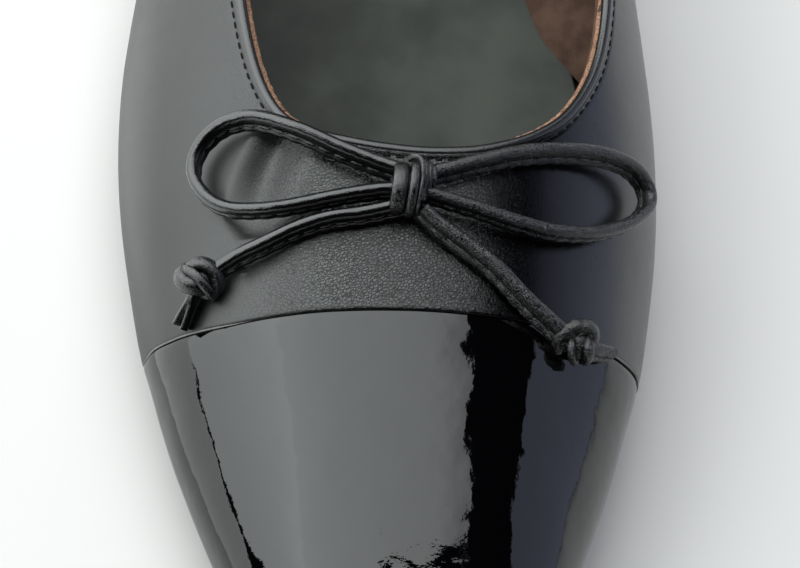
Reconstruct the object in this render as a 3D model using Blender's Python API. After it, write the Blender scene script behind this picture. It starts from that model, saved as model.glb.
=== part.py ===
# A ballet flat for the right foot: a leather upper with a low round throat, a separate toe cap, a rolled
# topline, a thin outsole with a low heel, an insole and a lace bow on the vamp.
# Metres. The toe points to -Y, +Z is up, the outer (lateral) side is -X and the inner (medial) side is +X.
# The origin is on the floor, at the middle of the upper's box.

import math

import bmesh
import bpy
import numpy as np
from mathutils import Vector
from mathutils.bvhtree import BVHTree

# Driving sizes of the shoe.
LENGTH = 0.250  # toe tip to the back of the heel
BALL_WIDTH = 0.082  # outside, across the ball
QUARTER_HEIGHT = 0.0495  # topline above the sole at the back of the heel
UPPER_WALL = 0.0020  # leather, stiffener and lining together
GAP = 0.0003  # between pieces that meet

# Sole and heel.
OUTSOLE_THICK = 0.0030
OUTSOLE_EDGE = 0.0010  # how far the outsole stands out past the upper's feather edge
TOE_SPRING = 0.0040
HEEL_HEIGHT = 0.0068  # floor to the underside of the outsole at the heel
LIFT_THICK = 0.0030
HEEL_INSET = 0.0008  # the heel stands this far inside the outsole's edge
HEEL_TAPER = 0.0008
HEEL_BREAST = 0.765  # share of the length where the heel begins
BALL_FRONT = 0.27  # share of the length from where the sole lies flat on the floor
BALL_BACK = 0.45  # share of the length up to where it does
INSOLE_THICK = 0.0018
OUTSOLE_SOFT = 0.0005  # how much thinner the outsole is at its rim, above and below
INSOLE_SOFT = 0.0003

# Toe cap, topline roll and bow.
CAP_THICK = 0.0008
CAP_PROUD = 0.00015  # the cap's face above the upper's own surface
CAP_ROOM = 0.005  # how far the cutter of the cap's step stands out past the upper
CAP_CENTRE = 0.2404  # share of the length where the cap's seam crosses the middle
ROLL_HIGH = 0.0016
ROLL_PROUD = 0.00025
LACE_WIDE = 0.0030  # the folded strip, standing on its edge
LACE_THICK = 0.0021
KNOT_SIZE = (0.0062, 0.0084, 0.0062)  # across, along and high
TAIL_KNOT_SIZE = (0.0072, 0.0052, 0.0056)

# How finely the forms are cut.
COLUMNS = 88
ROWS_UNDER = 3  # from the feather edge to the widest place
ROWS_OVER = 9  # from there to the topline
ROW_SPREAD = 1.15  # over 1 sets the lower of these closer together
FINE = 160
SEAM_POINTS = 13
LACE_STEP = 0.0024  # between the sections of a strip
ROUTE_UNIT = 0.001  # one unit of the lace's routes
KNOT_SEGMENTS = 14
KNOT_RINGS = 8
KNOT_FULLNESS = 0.8  # under 1 makes a knot squarer than an egg
ROLL_SIDES = 8

# The upper's widest outline, from the toe tip to the heel's back. along is a share of LENGTH; lateral and
# medial are distances from the middle line as shares of BALL_WIDTH, and so are the tucks, by which the
# feather edge lies inside this outline; the bulges are its heights above the sole, shares of QUARTER_HEIGHT.
OUTLINE_COLUMNS = ("along", "lateral", "medial", "tuck_l", "tuck_m", "bulge_l", "bulge_m")
OUTLINE = (
    (0.000, -0.018, 0.018, 0.040, 0.040, 0.105, 0.105),
    (0.010, 0.098, 0.135, 0.040, 0.040, 0.105, 0.105),
    (0.030, 0.172, 0.206, 0.041, 0.041, 0.108, 0.108),
    (0.060, 0.232, 0.262, 0.042, 0.042, 0.112, 0.112),
    (0.114, 0.303, 0.328, 0.044, 0.044, 0.120, 0.120),
    (0.180, 0.377, 0.398, 0.045, 0.045, 0.130, 0.130),
    (0.256, 0.437, 0.460, 0.046, 0.046, 0.138, 0.140),
    (0.320, 0.472, 0.495, 0.047, 0.048, 0.144, 0.152),
    (0.384, 0.486, 0.506, 0.050, 0.052, 0.150, 0.172),
    (0.456, 0.475, 0.493, 0.052, 0.062, 0.158, 0.215),
    (0.540, 0.438, 0.457, 0.058, 0.080, 0.174, 0.265),
    (0.620, 0.394, 0.404, 0.058, 0.088, 0.196, 0.290),
    (0.700, 0.362, 0.356, 0.052, 0.074, 0.225, 0.295),
    (0.800, 0.351, 0.337, 0.045, 0.050, 0.268, 0.300),
    (0.888, 0.328, 0.318, 0.040, 0.042, 0.300, 0.305),
    (0.952, 0.262, 0.252, 0.036, 0.036, 0.320, 0.320),
    (0.988, 0.141, 0.134, 0.036, 0.036, 0.330, 0.330),
    (1.000, 0.006, -0.006, 0.036, 0.036, 0.332, 0.332),
)

# The topline, one row for each row above: where the leather that rises from that place ends. round is how
# much of its rise is a quarter round, and square is that round's fullness.
TOPLINE_COLUMNS = ("along_l", "along_m", "top_l", "top_m", "height", "round", "square")
TOPLINE = (
    (0.338, 0.338, -0.004, 0.004, 0.742, 0.40, 3.2),
    (0.338, 0.340, 0.046, 0.060, 0.741, 0.40, 3.2),
    (0.339, 0.343, 0.090, 0.103, 0.738, 0.40, 3.2),
    (0.341, 0.348, 0.131, 0.146, 0.733, 0.41, 3.1),
    (0.344, 0.355, 0.178, 0.191, 0.725, 0.43, 3.0),
    (0.350, 0.365, 0.222, 0.234, 0.714, 0.46, 2.8),
    (0.362, 0.379, 0.258, 0.274, 0.699, 0.50, 2.6),
    (0.383, 0.398, 0.283, 0.308, 0.680, 0.52, 2.4),
    (0.415, 0.424, 0.303, 0.338, 0.661, 0.50, 2.3),
    (0.465, 0.469, 0.319, 0.362, 0.640, 0.44, 2.2),
    (0.540, 0.540, 0.326, 0.364, 0.618, 0.39, 2.2),
    (0.620, 0.620, 0.322, 0.334, 0.592, 0.36, 2.2),
    (0.700, 0.700, 0.312, 0.298, 0.596, 0.35, 2.2),
    (0.796, 0.796, 0.296, 0.277, 0.670, 0.35, 2.2),
    (0.876, 0.876, 0.266, 0.249, 0.800, 0.35, 2.2),
    (0.934, 0.934, 0.203, 0.190, 0.916, 0.35, 2.2),
    (0.966, 0.966, 0.110, 0.103, 0.984, 0.35, 2.2),
    (0.976, 0.976, 0.005, -0.005, 1.000, 0.35, 2.2),
)

# The underside of the outsole in front of the ball: share of the way from the toe tip to BALL_FRONT, and
# height as a share of TOE_SPRING.
TOE_PROFILE = (
    (0.00, 1.00),
    (0.22, 0.64),
    (0.44, 0.33),
    (0.70, 0.09),
    (1.00, 0.00),
)

# And behind it: share of the way from BALL_BACK to HEEL_BREAST, and height as a share of HEEL_HEIGHT.
ARCH_PROFILE = (
    (0.00, 0.00),
    (0.22, 0.09),
    (0.48, 0.39),
    (0.73, 0.76),
    (0.92, 0.96),
    (0.98, 1.00),
    (1.00, 1.00),
)

# The cap's seam: share of BALL_WIDTH across from the middle, share of LENGTH behind CAP_CENTRE.
CAP_SEAM = (
    (-0.60, 0.012),
    (-0.47, 0.010),
    (-0.40, 0.001),
    (-0.30, -0.003),
    (-0.15, -0.002),
    (0.00, 0.000),
    (0.20, 0.003),
    (0.32, 0.004),
    (0.40, 0.006),
    (0.48, 0.011),
    (0.60, 0.015),
)

# The lace's route over the vamp, in units of ROUTE_UNIT: across from the middle, forward of the throat's
# edge, and the middle of the strip above the leather.
LEFT_LOOP = (
    (-3.6, 6.0, 3.4),
    (-7.2, 4.9, 3.2),
    (-12.6, 2.8, 3.1),
    (-18.3, 0.0, 3.1),
    (-23.5, -2.5, 3.3),
    (-26.4, -3.1, 3.7),
    (-28.9, -2.4, 4.1),
    (-30.9, -0.2, 4.4),
    (-31.6, 2.6, 4.4),
    (-31.1, 5.1, 4.4),
    (-29.8, 7.5, 4.1),
    (-28.3, 9.2, 3.7),
    (-25.9, 10.5, 3.3),
    (-20.6, 11.0, 3.0),
    (-12.5, 9.8, 3.0),
    (-7.2, 8.9, 3.1),
    (-3.6, 8.7, 3.4),
)
RIGHT_LOOP = (
    (-0.6, 6.2, 3.4),
    (2.6, 5.1, 3.2),
    (7.6, 3.1, 3.1),
    (13.8, 0.7, 3.1),
    (20.1, -1.1, 3.1),
    (26.9, -2.1, 3.5),
    (32.6, -2.3, 4.3),
    (35.7, -1.5, 5.0),
    (36.4, 0.6, 5.2),
    (34.6, 3.2, 4.8),
    (30.7, 6.5, 3.9),
    (25.4, 9.5, 3.3),
    (18.7, 11.2, 3.1),
    (12.4, 11.0, 3.1),
    (6.3, 10.0, 3.1),
    (-0.6, 8.9, 3.4),
)
LEFT_TAIL = (
    (-3.4, 10.8, 3.2),
    (-6.4, 11.5, 2.8),
    (-9.8, 12.2, 2.6),
    (-13.8, 12.7, 2.5),
    (-17.8, 13.8, 2.5),
    (-21.7, 15.4, 2.6),
    (-25.6, 16.8, 2.7),
    (-28.4, 18.2, 3.0),
    (-30.6, 19.2, 3.3),
)
RIGHT_TAIL = (
    (-0.8, 11.0, 3.2),
    (1.7, 12.9, 2.8),
    (5.3, 14.9, 2.6),
    (10.3, 17.8, 2.6),
    (15.0, 21.5, 2.6),
    (19.1, 24.0, 2.7),
    (22.0, 25.4, 3.0),
    (24.0, 26.6, 3.2),
)
LEFT_END = ((-30.6, 19.6, 3.4), (-30.8, 21.4, 3.2), (-31.0, 23.0, 3.1), (-31.2, 24.4, 3.1))
RIGHT_END = ((23.6, 26.2, 3.2), (26.2, 25.8, 2.8), (28.6, 25.2, 2.6), (30.6, 24.6, 2.6))

# The knots: across, forward, and the turn about the upright in degrees.
BOW_KNOT = (-2.2, 8.2, 0)
LEFT_KNOT = (-29.0, 18.7, -20)
RIGHT_KNOT = (22.8, 25.6, 30)

# The strip's section: shares of half its thickness and of half its width.
STRIP_SECTION = (
    (1.00, 0.55),
    (0.55, 1.00),
    (-0.55, 1.00),
    (-1.00, 0.55),
    (-1.00, -0.55),
    (-0.55, -1.00),
    (0.55, -1.00),
    (1.00, -0.55),
)

# The sections of a sole-like plate across its width: share of the way over, and share of the rim's softness.
PLATE_SECTION = ((0.00, 1.0), (0.02, 0.0), (0.50, 0.0), (0.98, 0.0), (1.00, 1.0))


def clear_scene():
    for item in list(bpy.data.objects):
        bpy.data.objects.remove(item, do_unlink=True)


def smooth_steps(knots, values, at):
    """Monotone cubic interpolation: level between equal values, and never past them."""
    knots, values, at = (np.asarray(x, float) for x in (knots, values, at))
    width = np.diff(knots)
    rise = np.diff(values) / width
    slope = np.zeros(len(knots))
    same_way = rise[:-1] * rise[1:] > 0
    before, after = 2 * width[1:] + width[:-1], width[1:] + 2 * width[:-1]
    first, second = (np.where(same_way, part, 1) for part in (rise[:-1], rise[1:]))
    slope[1:-1] = np.where(same_way, (before + after) / (before / first + after / second), 0)
    slope[0], slope[-1] = rise[0], rise[-1]
    i = np.clip(np.searchsorted(knots, at, side="right") - 1, 0, len(width) - 1)
    t = np.clip((at - knots[i]) / width[i], 0, 1)
    return (
        (1 + 2 * t) * (1 - t) ** 2 * values[i]
        + t * (1 - t) ** 2 * width[i] * slope[i]
        + t * t * (3 - 2 * t) * values[i + 1]
        + t * t * (t - 1) * width[i] * slope[i + 1]
    )


def closed_spline(knots, values, at):
    """A smooth closed curve through values at knots; knots has one more entry, where the curve closes."""
    values = np.asarray(values, float).reshape(len(values), -1)
    count = len(values)
    width = np.diff(knots)
    rise = (np.roll(values, -1, 0) - values) / width[:, None]
    system = np.zeros((count, count))
    for i in range(count):
        system[i, i - 1] += width[i - 1]
        system[i, i] += 2 * (width[i - 1] + width[i])
        system[i, (i + 1) % count] += width[i]
    bend = np.linalg.solve(system, 6 * (rise - np.roll(rise, 1, 0)))
    i = np.clip(np.searchsorted(knots, at, side="right") - 1, 0, count - 1)
    right = (i + 1) % count
    w, a = width[i][:, None], (np.asarray(at) - knots[i])[:, None]
    b = w - a
    return (
        bend[i] * b**3 / (6 * w)
        + bend[right] * a**3 / (6 * w)
        + (values[i] / w - bend[i] * w / 6) * b
        + (values[right] / w - bend[right] * w / 6) * a
    )


def sole_bottom(y):
    """Height of the outsole's underside at a place along the shoe, with the toe tip at y = 0."""
    share = np.asarray(y, float) / LENGTH
    toe, spring = np.array(TOE_PROFILE).T
    arch, heel = np.array(ARCH_PROFILE).T
    behind_ball = (share - BALL_BACK) / (HEEL_BREAST - BALL_BACK)
    in_front = TOE_SPRING * smooth_steps(toe, spring, share / BALL_FRONT)
    return in_front + HEEL_HEIGHT * smooth_steps(arch, heel, behind_ball)


def sole_top(y):
    return sole_bottom(y) + OUTSOLE_THICK


def seam_at(x):
    """Where along the shoe the cap's seam crosses, at a distance x from the middle."""
    across, behind = np.array(CAP_SEAM).T
    return LENGTH * (CAP_CENTRE + smooth_steps(across * BALL_WIDTH, behind, x))


def around(lateral, medial):
    """A closed loop's values, from the toe tip down the outer side to the heel and back up the inner."""
    return np.concatenate([lateral, medial[-2:0:-1]])


def last_columns(count):
    """The upper as columns around the shoe: the outline, tuck, bulge, topline and fullness of each."""
    out = dict(zip(OUTLINE_COLUMNS, np.array(OUTLINE).T))
    top = dict(zip(TOPLINE_COLUMNS, np.array(TOPLINE).T))
    wide = BALL_WIDTH
    loop = np.stack(
        [
            around(-out["lateral"], out["medial"]) * wide,
            around(out["along"], out["along"]) * LENGTH,
            around(out["tuck_l"], out["tuck_m"]) * wide,
            around(out["bulge_l"], out["bulge_m"]) * QUARTER_HEIGHT,
            around(-top["top_l"], top["top_m"]) * wide,
            around(top["along_l"], top["along_m"]) * LENGTH,
            around(top["height"], top["height"]) * QUARTER_HEIGHT,
            around(top["round"], top["round"]),
            around(top["square"], top["square"]),
        ],
        axis=1,
    )
    half = len(OUTLINE) - 1
    step = np.linalg.norm(np.diff(np.vstack([loop[:, :2], loop[:1, :2]]), axis=0), axis=1)
    both = (step[:half] + step[half:][::-1]) / 2
    knots = np.concatenate([[0], np.cumsum(np.concatenate([both, both[::-1]]))])
    at = np.linspace(0, knots[-1], count, endpoint=False)
    names = ("x", "y", "tuck", "bulge", "top_x", "top_y", "top_z", "round", "square")
    return dict(zip(names, closed_spline(knots, loop, at).T))


def plan_normals(points):
    """Outward directions of a closed loop in plan."""
    run = np.roll(points, -1, 0) - np.roll(points, 1, 0)
    outward = np.stack([-run[:, 1], run[:, 0]], axis=1)
    outward /= np.linalg.norm(outward, axis=1)[:, None]
    middle = points.mean(axis=0)
    widest = np.abs(points[:, 0] - middle[0]).argmax()
    return outward * np.sign(outward[widest] @ (points[widest] - middle))


def feather_loop(columns):
    """The upper's lower edge in plan."""
    outline = np.stack([columns["x"], columns["y"]], axis=1)
    return outline - plan_normals(outline) * columns["tuck"][:, None]


def fine_columns(columns):
    """Each column as a fine line of points from the feather edge over the widest place to the topline."""
    outline = np.stack([columns["x"], columns["y"]], axis=1)
    outward = plan_normals(outline)
    feather = feather_loop(columns)
    low = sole_top(feather[:, 1]) + GAP
    widest = sole_top(outline[:, 1]) + columns["bulge"]
    high = sole_top(columns["top_y"]) + columns["top_z"]
    top = np.stack([columns["top_x"], columns["top_y"]], axis=1)
    lines = []
    for i in range(len(outline)):
        q = np.linspace(0, 1, FINE // 4, endpoint=False)[:, None]
        under = outline[i] - outward[i] * columns["tuck"][i] * (1 - q) ** 2
        under = np.hstack([under, low[i] + (widest[i] - low[i]) * q])
        q = np.linspace(0, 1, FINE)[:, None]
        square = columns["square"][i]
        share = q**square
        rise = (1 - (1 - share) ** square) ** (1 / square)
        rise = columns["round"][i] * rise + (1 - columns["round"][i]) * share
        over = outline[i] + (top[i] - outline[i]) * share
        over = np.hstack([over, widest[i] + (high[i] - widest[i]) * rise])
        lines.append((under, over))
    return lines


def at_lengths(line, lengths):
    """Points of a line at distances along it."""
    along = np.concatenate([[0], np.cumsum(np.linalg.norm(np.diff(line, axis=0), axis=1))])
    return np.stack([np.interp(lengths, along, line[:, k]) for k in range(3)], axis=1), along[-1]


def upper_grid(columns, room):
    """The upper's outer surface: a grid of points, round the shoe by up it, and its outward normals.

    Its last row lies room below the topline, measured along the leather. The topline itself comes next, and
    then the direction in which the leather runs into it.
    """
    grid, edge, lean = [], [], []
    spread = np.linspace(0, 1, ROWS_OVER) ** ROW_SPREAD
    for under, over in fine_columns(columns):
        turn = np.vstack([under, over[:1]])
        _, under_length = at_lengths(turn, [0])
        whole = np.vstack([under, over])
        _, length = at_lengths(whole, [0])
        steps = np.concatenate(
            [
                np.linspace(0, under_length, ROWS_UNDER, endpoint=False),
                under_length + (length - room - under_length) * spread,
            ]
        )
        grid.append(at_lengths(whole, steps)[0])
        ends = at_lengths(whole, [length - 2 * room, length])[0]
        edge.append(ends[1])
        lean.append(ends[1] - ends[0])
    grid, edge, lean = np.array(grid), np.array(edge), np.array(lean)
    return grid, grid_normals(grid), edge, lean / np.linalg.norm(lean, axis=1)[:, None]


def grid_normals(grid):
    """Outward normals of a grid whose first axis goes round the shoe and whose second goes up."""
    round_the_shoe = np.roll(grid, -1, 0) - np.roll(grid, 1, 0)
    up = np.gradient(grid, axis=1)
    normals = np.cross(up, round_the_shoe)
    normals /= np.linalg.norm(normals, axis=2)[..., None]
    widest = grid[:, ROWS_UNDER, 0].argmax()
    return normals * np.sign(normals[widest, ROWS_UNDER, 0])


def offset_grid(grid, normals, distance):
    """The surface moved out by distance, with its lowest row kept at its own height."""
    moved = grid + normals * distance
    flat = normals[:, 0].copy()
    flat[:, 2] = 0
    flat /= np.linalg.norm(flat, axis=1)[:, None]
    moved[:, 0] = grid[:, 0] + flat * distance
    return moved


def material(name, colour, roughness, metallic=0.0):
    made = bpy.data.materials.new(name)
    made.use_nodes = True
    shader = made.node_tree.nodes["Principled BSDF"]
    shader.inputs["Base Color"].default_value = (*colour, 1)
    shader.inputs["Roughness"].default_value = roughness
    shader.inputs["Metallic"].default_value = metallic
    made.diffuse_color = (*colour, 1)
    return made


def new_object(name, bm, look=None):
    """An object from a bmesh, closed up and facing out, under the shoe's own empty."""
    bmesh.ops.remove_doubles(bm, verts=bm.verts, dist=1e-7)
    bmesh.ops.dissolve_degenerate(bm, dist=1e-7, edges=bm.edges)
    bmesh.ops.recalc_face_normals(bm, faces=bm.faces)
    mesh = bpy.data.meshes.new(name)
    bm.to_mesh(mesh)
    bm.free()
    mesh.shade_smooth()
    mesh.set_sharp_from_angle(angle=math.radians(50))
    made = bpy.data.objects.new(name, mesh)
    bpy.context.scene.collection.objects.link(made)
    made.parent = bpy.data.objects["shoe"]
    if look:
        mesh.materials.append(look)
    else:
        made.hide_render = True
        made.display_type = "WIRE"
    return made


def cut(target, cutter, operation="DIFFERENCE"):
    modifier = target.modifiers.new(operation.lower() + "_" + cutter.name, "BOOLEAN")
    modifier.operation = operation
    modifier.object = cutter


def skin(bm, rows, closed):
    """Quads between rows of vertices; each row is closed into a ring or left open."""
    for lower, upper in zip(rows[:-1], rows[1:]):
        count = len(lower)
        for i in range(count if closed else count - 1):
            j = (i + 1) % count
            corners = [lower[i], lower[j], upper[j], upper[i]]
            kept = [v for k, v in enumerate(corners) if v is not corners[k - 1]]
            if len(kept) > 2:
                bm.faces.new(kept)


def ring_solid(name, sections, look=None):
    """A closed ring of sections, each a closed loop of points."""
    bm = bmesh.new()
    rings = [[bm.verts.new(p) for p in section] for section in sections]
    skin(bm, [*rings, rings[0]], closed=True)
    return new_object(name, bm, look)


def shell_section(outer, inner):
    """One column of a shell as a closed loop: up its outer face and down its inner face."""
    return np.vstack([outer, inner[::-1]])


def make_upper(grid, normals, look):
    inner = offset_grid(grid, normals, -UPPER_WALL)
    return ring_solid("upper", [shell_section(*pair) for pair in zip(grid, inner)], look)


def toe_form(name, grid, normals, outside, inside, drop, look=None):
    """The upper's own surface over the toe, thickened between two offsets, and closed at its ends."""
    far = LENGTH * BALL_BACK
    widest = grid[:, ROWS_UNDER, 1]
    reach = next(i for i in range(1, len(grid)) if min(widest[i], widest[-i]) > far)
    order = [i % len(grid) for i in range(-reach, reach + 1)]
    rows = grid.shape[1] - 1
    outer = offset_grid(grid, normals, outside)[order, :rows]
    inner = offset_grid(grid, normals, inside)[order, :rows]
    if drop:
        down = np.array([0, 0, drop])
        outer = np.concatenate([outer[:, :1] - down, outer], axis=1)
        inner = np.concatenate([inner[:, :1] - down, inner], axis=1)
    bm = bmesh.new()
    rings = [[bm.verts.new(p) for p in shell_section(*pair)] for pair in zip(outer, inner)]
    skin(bm, rings, closed=True)
    for ring in (rings[0], rings[-1]):
        half = len(ring) // 2
        for i in range(half - 1):
            bm.faces.new([ring[i], ring[i + 1], ring[-2 - i], ring[-1 - i]])
    return new_object(name, bm, look)


def seam_block(name, back):
    """Everything in front of the cap's seam, moved back by the given distance."""
    across = np.linspace(CAP_SEAM[0][0], CAP_SEAM[-1][0], SEAM_POINTS) * BALL_WIDTH
    line = [(x, seam_at(x) + back) for x in across]
    outline = [(across[0], -LENGTH), *line, (across[-1], -LENGTH)]
    bm = bmesh.new()
    low = [bm.verts.new((x, y, -QUARTER_HEIGHT)) for x, y in outline]
    high = [bm.verts.new((x, y, QUARTER_HEIGHT * 2)) for x, y in outline]
    skin(bm, [low, high], closed=True)
    bm.faces.new(low)
    bm.faces.new(high)
    return new_object(name, bm)


def make_cap(upper, grid, normals, look):
    """The toe cap, and the step in the upper's wall that it lies in."""
    face = CAP_PROUD
    cap = toe_form("toe_cap", grid, normals, face, face - CAP_THICK, 0, look)
    cut(cap, seam_block("cap_front", -GAP), "INTERSECT")
    room = toe_form("cap_room", grid, normals, CAP_ROOM, face - CAP_THICK - GAP, OUTSOLE_THICK)
    cut(room, seam_block("room_front", 0), "INTERSECT")
    cut(upper, room)


def make_topline_roll(edge, lean, outward, look):
    """The rounded roll of leather that finishes the topline."""
    wide = UPPER_WALL / 2 + ROLL_PROUD
    middle = edge - lean * ROLL_HIGH / 2 - outward * UPPER_WALL / 2
    angles = np.linspace(0, 2 * math.pi, ROLL_SIDES, endpoint=False)
    sections = [
        [m + n * wide * math.cos(a) + u * ROLL_HIGH / 2 * math.sin(a) for a in angles]
        for m, n, u in zip(middle, outward, lean)
    ]
    return ring_solid("topline_roll", sections, look)


def offset_loop(points, distance):
    return points + plan_normals(points) * distance


def plate(name, loop, bottom, thick, soft, look):
    """A sole-like plate from an outline in plan and its underside's height, thinner at its rim by soft."""
    count = len(loop)
    half = count // 2
    across, rim = np.array(PLATE_SECTION).T
    bm = bmesh.new()
    rings = []
    for i in range(half + 1):
        outer, inner = loop[i], loop[-i % count]
        line = outer + (inner - outer) * across[:, None]
        low = [(x, y, float(bottom(y)) + h) for (x, y), h in zip(line, soft * rim)]
        high = [(x, y, float(bottom(y)) + thick - h) for (x, y), h in zip(line, soft * rim)]
        points = [*low, *high[::-1]]
        if i in (0, half):
            points = [low[0]] * len(low) + [high[0]] * len(high)
        verts = {p: bm.verts.new(p) for p in dict.fromkeys(points)}
        rings.append([verts[p] for p in points])
    skin(bm, rings, closed=True)
    return new_object(name, bm, look)


def heel_outline(loop):
    """The part of the sole's outline behind the heel's breast, with a straight front."""
    breast = HEEL_BREAST * LENGTH
    dense = np.vstack([loop, loop[:1]])
    corners = []
    for a, b in zip(dense[:-1], dense[1:]):
        if (a[1] - breast) * (b[1] - breast) < 0:
            corners.append(a + (b - a) * (breast - a[1]) / (b[1] - a[1]))
    behind = [p for p in loop if p[1] > breast + GAP]
    return np.array([corners[0], *behind, corners[1]])


def drawn_in(outline, distance):
    """An outline drawn in towards its middle, by the given distance at its widest place."""
    centre = outline.mean(axis=0)
    return centre + (outline - centre) * (1 - distance / np.abs(outline[:, 0]).max())


def block(name, outline, low, high, taper, look):
    """An upright block, narrower at its foot by taper each side."""
    bm = bmesh.new()
    foot = [bm.verts.new((*p, low)) for p in drawn_in(outline, taper)]
    head = [bm.verts.new((*p, high)) for p in outline]
    skin(bm, [foot, head], closed=True)
    bm.faces.new(foot)
    bm.faces.new(head)
    return new_object(name, bm, look)


class Vamp:
    """The leather under the bow, for heights and slopes at a place given as in the lace's routes."""

    def __init__(self, grid, throat):
        count, rows = grid.shape[:2]
        self.throat = throat
        faces = [
            (i * rows + j, (i + 1) % count * rows + j, (i + 1) % count * rows + j + 1, i * rows + j + 1)
            for i in range(count)
            for j in range(rows - 1)
        ]
        self.tree = BVHTree.FromPolygons([Vector(p) for p in grid.reshape(-1, 3)], faces)

    def below(self, across, forward):
        above = Vector((across * ROUTE_UNIT, self.throat - forward * ROUTE_UNIT, LENGTH))
        hit, normal, _, _ = self.tree.ray_cast(above, Vector((0, 0, -1)))
        return hit, -normal if normal.z < 0 else normal

    def at(self, across, forward, lift):
        """A place straight above the leather, and a strip's lean there, between upright and square on."""
        hit, normal = self.below(across, forward)
        return hit + Vector((0, 0, lift * ROUTE_UNIT)), (normal + Vector((0, 0, 1))).normalized()

    def seat(self, across, forward, height):
        """A place square above the leather, and the direction away from it."""
        hit, normal = self.below(across, forward)
        return hit + normal * height, normal


def smooth_route(rows, step):
    """Rows about step apart along a smooth curve through rows, whose first three numbers are a place."""
    rows = np.vstack([2 * rows[0] - rows[1], rows, 2 * rows[-1] - rows[-2]])
    made = []
    for a, b, c, d in zip(rows, rows[1:], rows[2:], rows[3:]):
        slope, bend, twist = c - a, 2 * a - 5 * b + 4 * c - d, 3 * b - a - 3 * c + d
        count = max(1, round(np.linalg.norm((c - b)[:3]) / step))
        for t in np.linspace(0, 1, count, endpoint=False):
            made.append(b + (slope * t + bend * t**2 + twist * t**3) / 2)
    return np.array([*made, rows[-2]])


def strip(name, route, vamp, look, rooms):
    """A folded strip of leather along a route, standing on its edge, cut where a knot takes it in."""
    rows = np.array([[*place, *up] for place, up in (vamp.at(*row) for row in route)])
    rows = smooth_route(rows, LACE_STEP)
    middle, lean = rows[:, :3], rows[:, 3:]
    side = np.cross(np.gradient(middle, axis=0), lean)
    side *= LACE_THICK / 2 / np.linalg.norm(side, axis=1)[:, None]
    up = np.cross(side, np.gradient(middle, axis=0))
    up *= LACE_WIDE / 2 / np.linalg.norm(up, axis=1)[:, None]
    sections = [[m + s * a + u * b for a, b in STRIP_SECTION] for m, s, u in zip(middle, side, up)]
    bm = bmesh.new()
    rings = [[bm.verts.new(p) for p in section] for section in sections]
    skin(bm, rings, closed=True)
    bm.faces.new(rings[0])
    bm.faces.new(rings[-1])
    made = new_object(name, bm, look)
    for room in rooms:
        cut(made, room)


def knot(name, place, size, vamp, look):
    """A rounded knot, with a slightly larger hidden copy that makes room for it in the strips it holds."""
    across, forward, turn = place
    middle, up = vamp.seat(across, forward, size[2] / 2 + GAP)
    forward = Vector((math.sin(math.radians(turn)), -math.cos(math.radians(turn)), 0))
    side = up.cross(forward).normalized()
    forward = side.cross(up)
    made = []
    for label, extra, shown in ((name, 0, look), (name + "_room", GAP, None)):
        bm = bmesh.new()
        bmesh.ops.create_uvsphere(bm, u_segments=KNOT_SEGMENTS, v_segments=KNOT_RINGS, radius=1)
        for vert in bm.verts:
            full = [math.copysign(abs(c) ** KNOT_FULLNESS, c) for c in vert.co]
            axes = [c * (s / 2 + extra) for c, s in zip(full, size)]
            vert.co = middle + side * axes[0] + forward * axes[1] + up * axes[2]
        made.append(new_object(label, bm, shown))
    return made[1]


def make_bow(vamp, look):
    centre = knot("bow_knot", BOW_KNOT, KNOT_SIZE, vamp, look)
    left = knot("tail_knot_left", LEFT_KNOT, TAIL_KNOT_SIZE, vamp, look)
    right = knot("tail_knot_right", RIGHT_KNOT, TAIL_KNOT_SIZE, vamp, look)
    strip("bow_loop_left", LEFT_LOOP, vamp, look, [centre])
    strip("bow_loop_right", RIGHT_LOOP, vamp, look, [centre])
    strip("bow_tail_left", LEFT_TAIL, vamp, look, [centre, left])
    strip("bow_tail_right", RIGHT_TAIL, vamp, look, [centre, right])
    strip("tail_end_left", LEFT_END, vamp, look, [left])
    strip("tail_end_right", RIGHT_END, vamp, look, [right])


def make_sole(feather, outsole_look, heel_look, lift_look, insole_look):
    outline = offset_loop(feather, OUTSOLE_EDGE)
    plate("outsole", outline, sole_bottom, OUTSOLE_THICK, OUTSOLE_SOFT, outsole_look)
    inside = offset_loop(feather, -UPPER_WALL - GAP)
    plate("insole", inside, lambda y: sole_top(y) + GAP, INSOLE_THICK, INSOLE_SOFT, insole_look)
    outline = heel_outline(offset_loop(feather, OUTSOLE_EDGE - HEEL_INSET))
    block("heel", outline, LIFT_THICK + GAP, HEEL_HEIGHT - GAP, HEEL_TAPER / 2, heel_look)
    block("top_lift", drawn_in(outline, HEEL_TAPER / 2), 0, LIFT_THICK, HEEL_TAPER / 2, lift_look)


def main():
    clear_scene()
    shoe = bpy.data.objects.new("shoe", None)
    bpy.context.scene.collection.objects.link(shoe)

    leather = material("pebbled_leather", (0.035, 0.035, 0.038), 0.45)
    patent = material("patent_leather", (0.03, 0.035, 0.04), 0.06)
    sole_leather = material("outsole_leather", (0.05, 0.045, 0.04), 0.6)
    heel_leather = material("heel_leather", (0.04, 0.035, 0.03), 0.55)
    rubber = material("lift_rubber", (0.03, 0.03, 0.03), 0.8)
    sock = material("insole_leather", (0.075, 0.078, 0.073), 0.55)
    roll = material("rolled_edge", (0.03, 0.03, 0.033), 0.4)
    lace = material("lace_leather", (0.03, 0.032, 0.034), 0.35)

    columns = last_columns(COLUMNS)
    grid, normals, edge, lean = upper_grid(columns, ROLL_HIGH + GAP)
    middle = (grid.min(axis=(0, 1)) + grid.max(axis=(0, 1))) / 2
    shoe.location = (-middle[0], -middle[1], 0)
    upper = make_upper(grid, normals, leather)
    make_cap(upper, grid, normals, patent)
    make_topline_roll(edge, lean, normals[:, -1], roll)
    make_bow(Vamp(grid, edge[0, 1]), lace)
    make_sole(feather_loop(columns), sole_leather, heel_leather, rubber, sock)


main()
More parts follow.
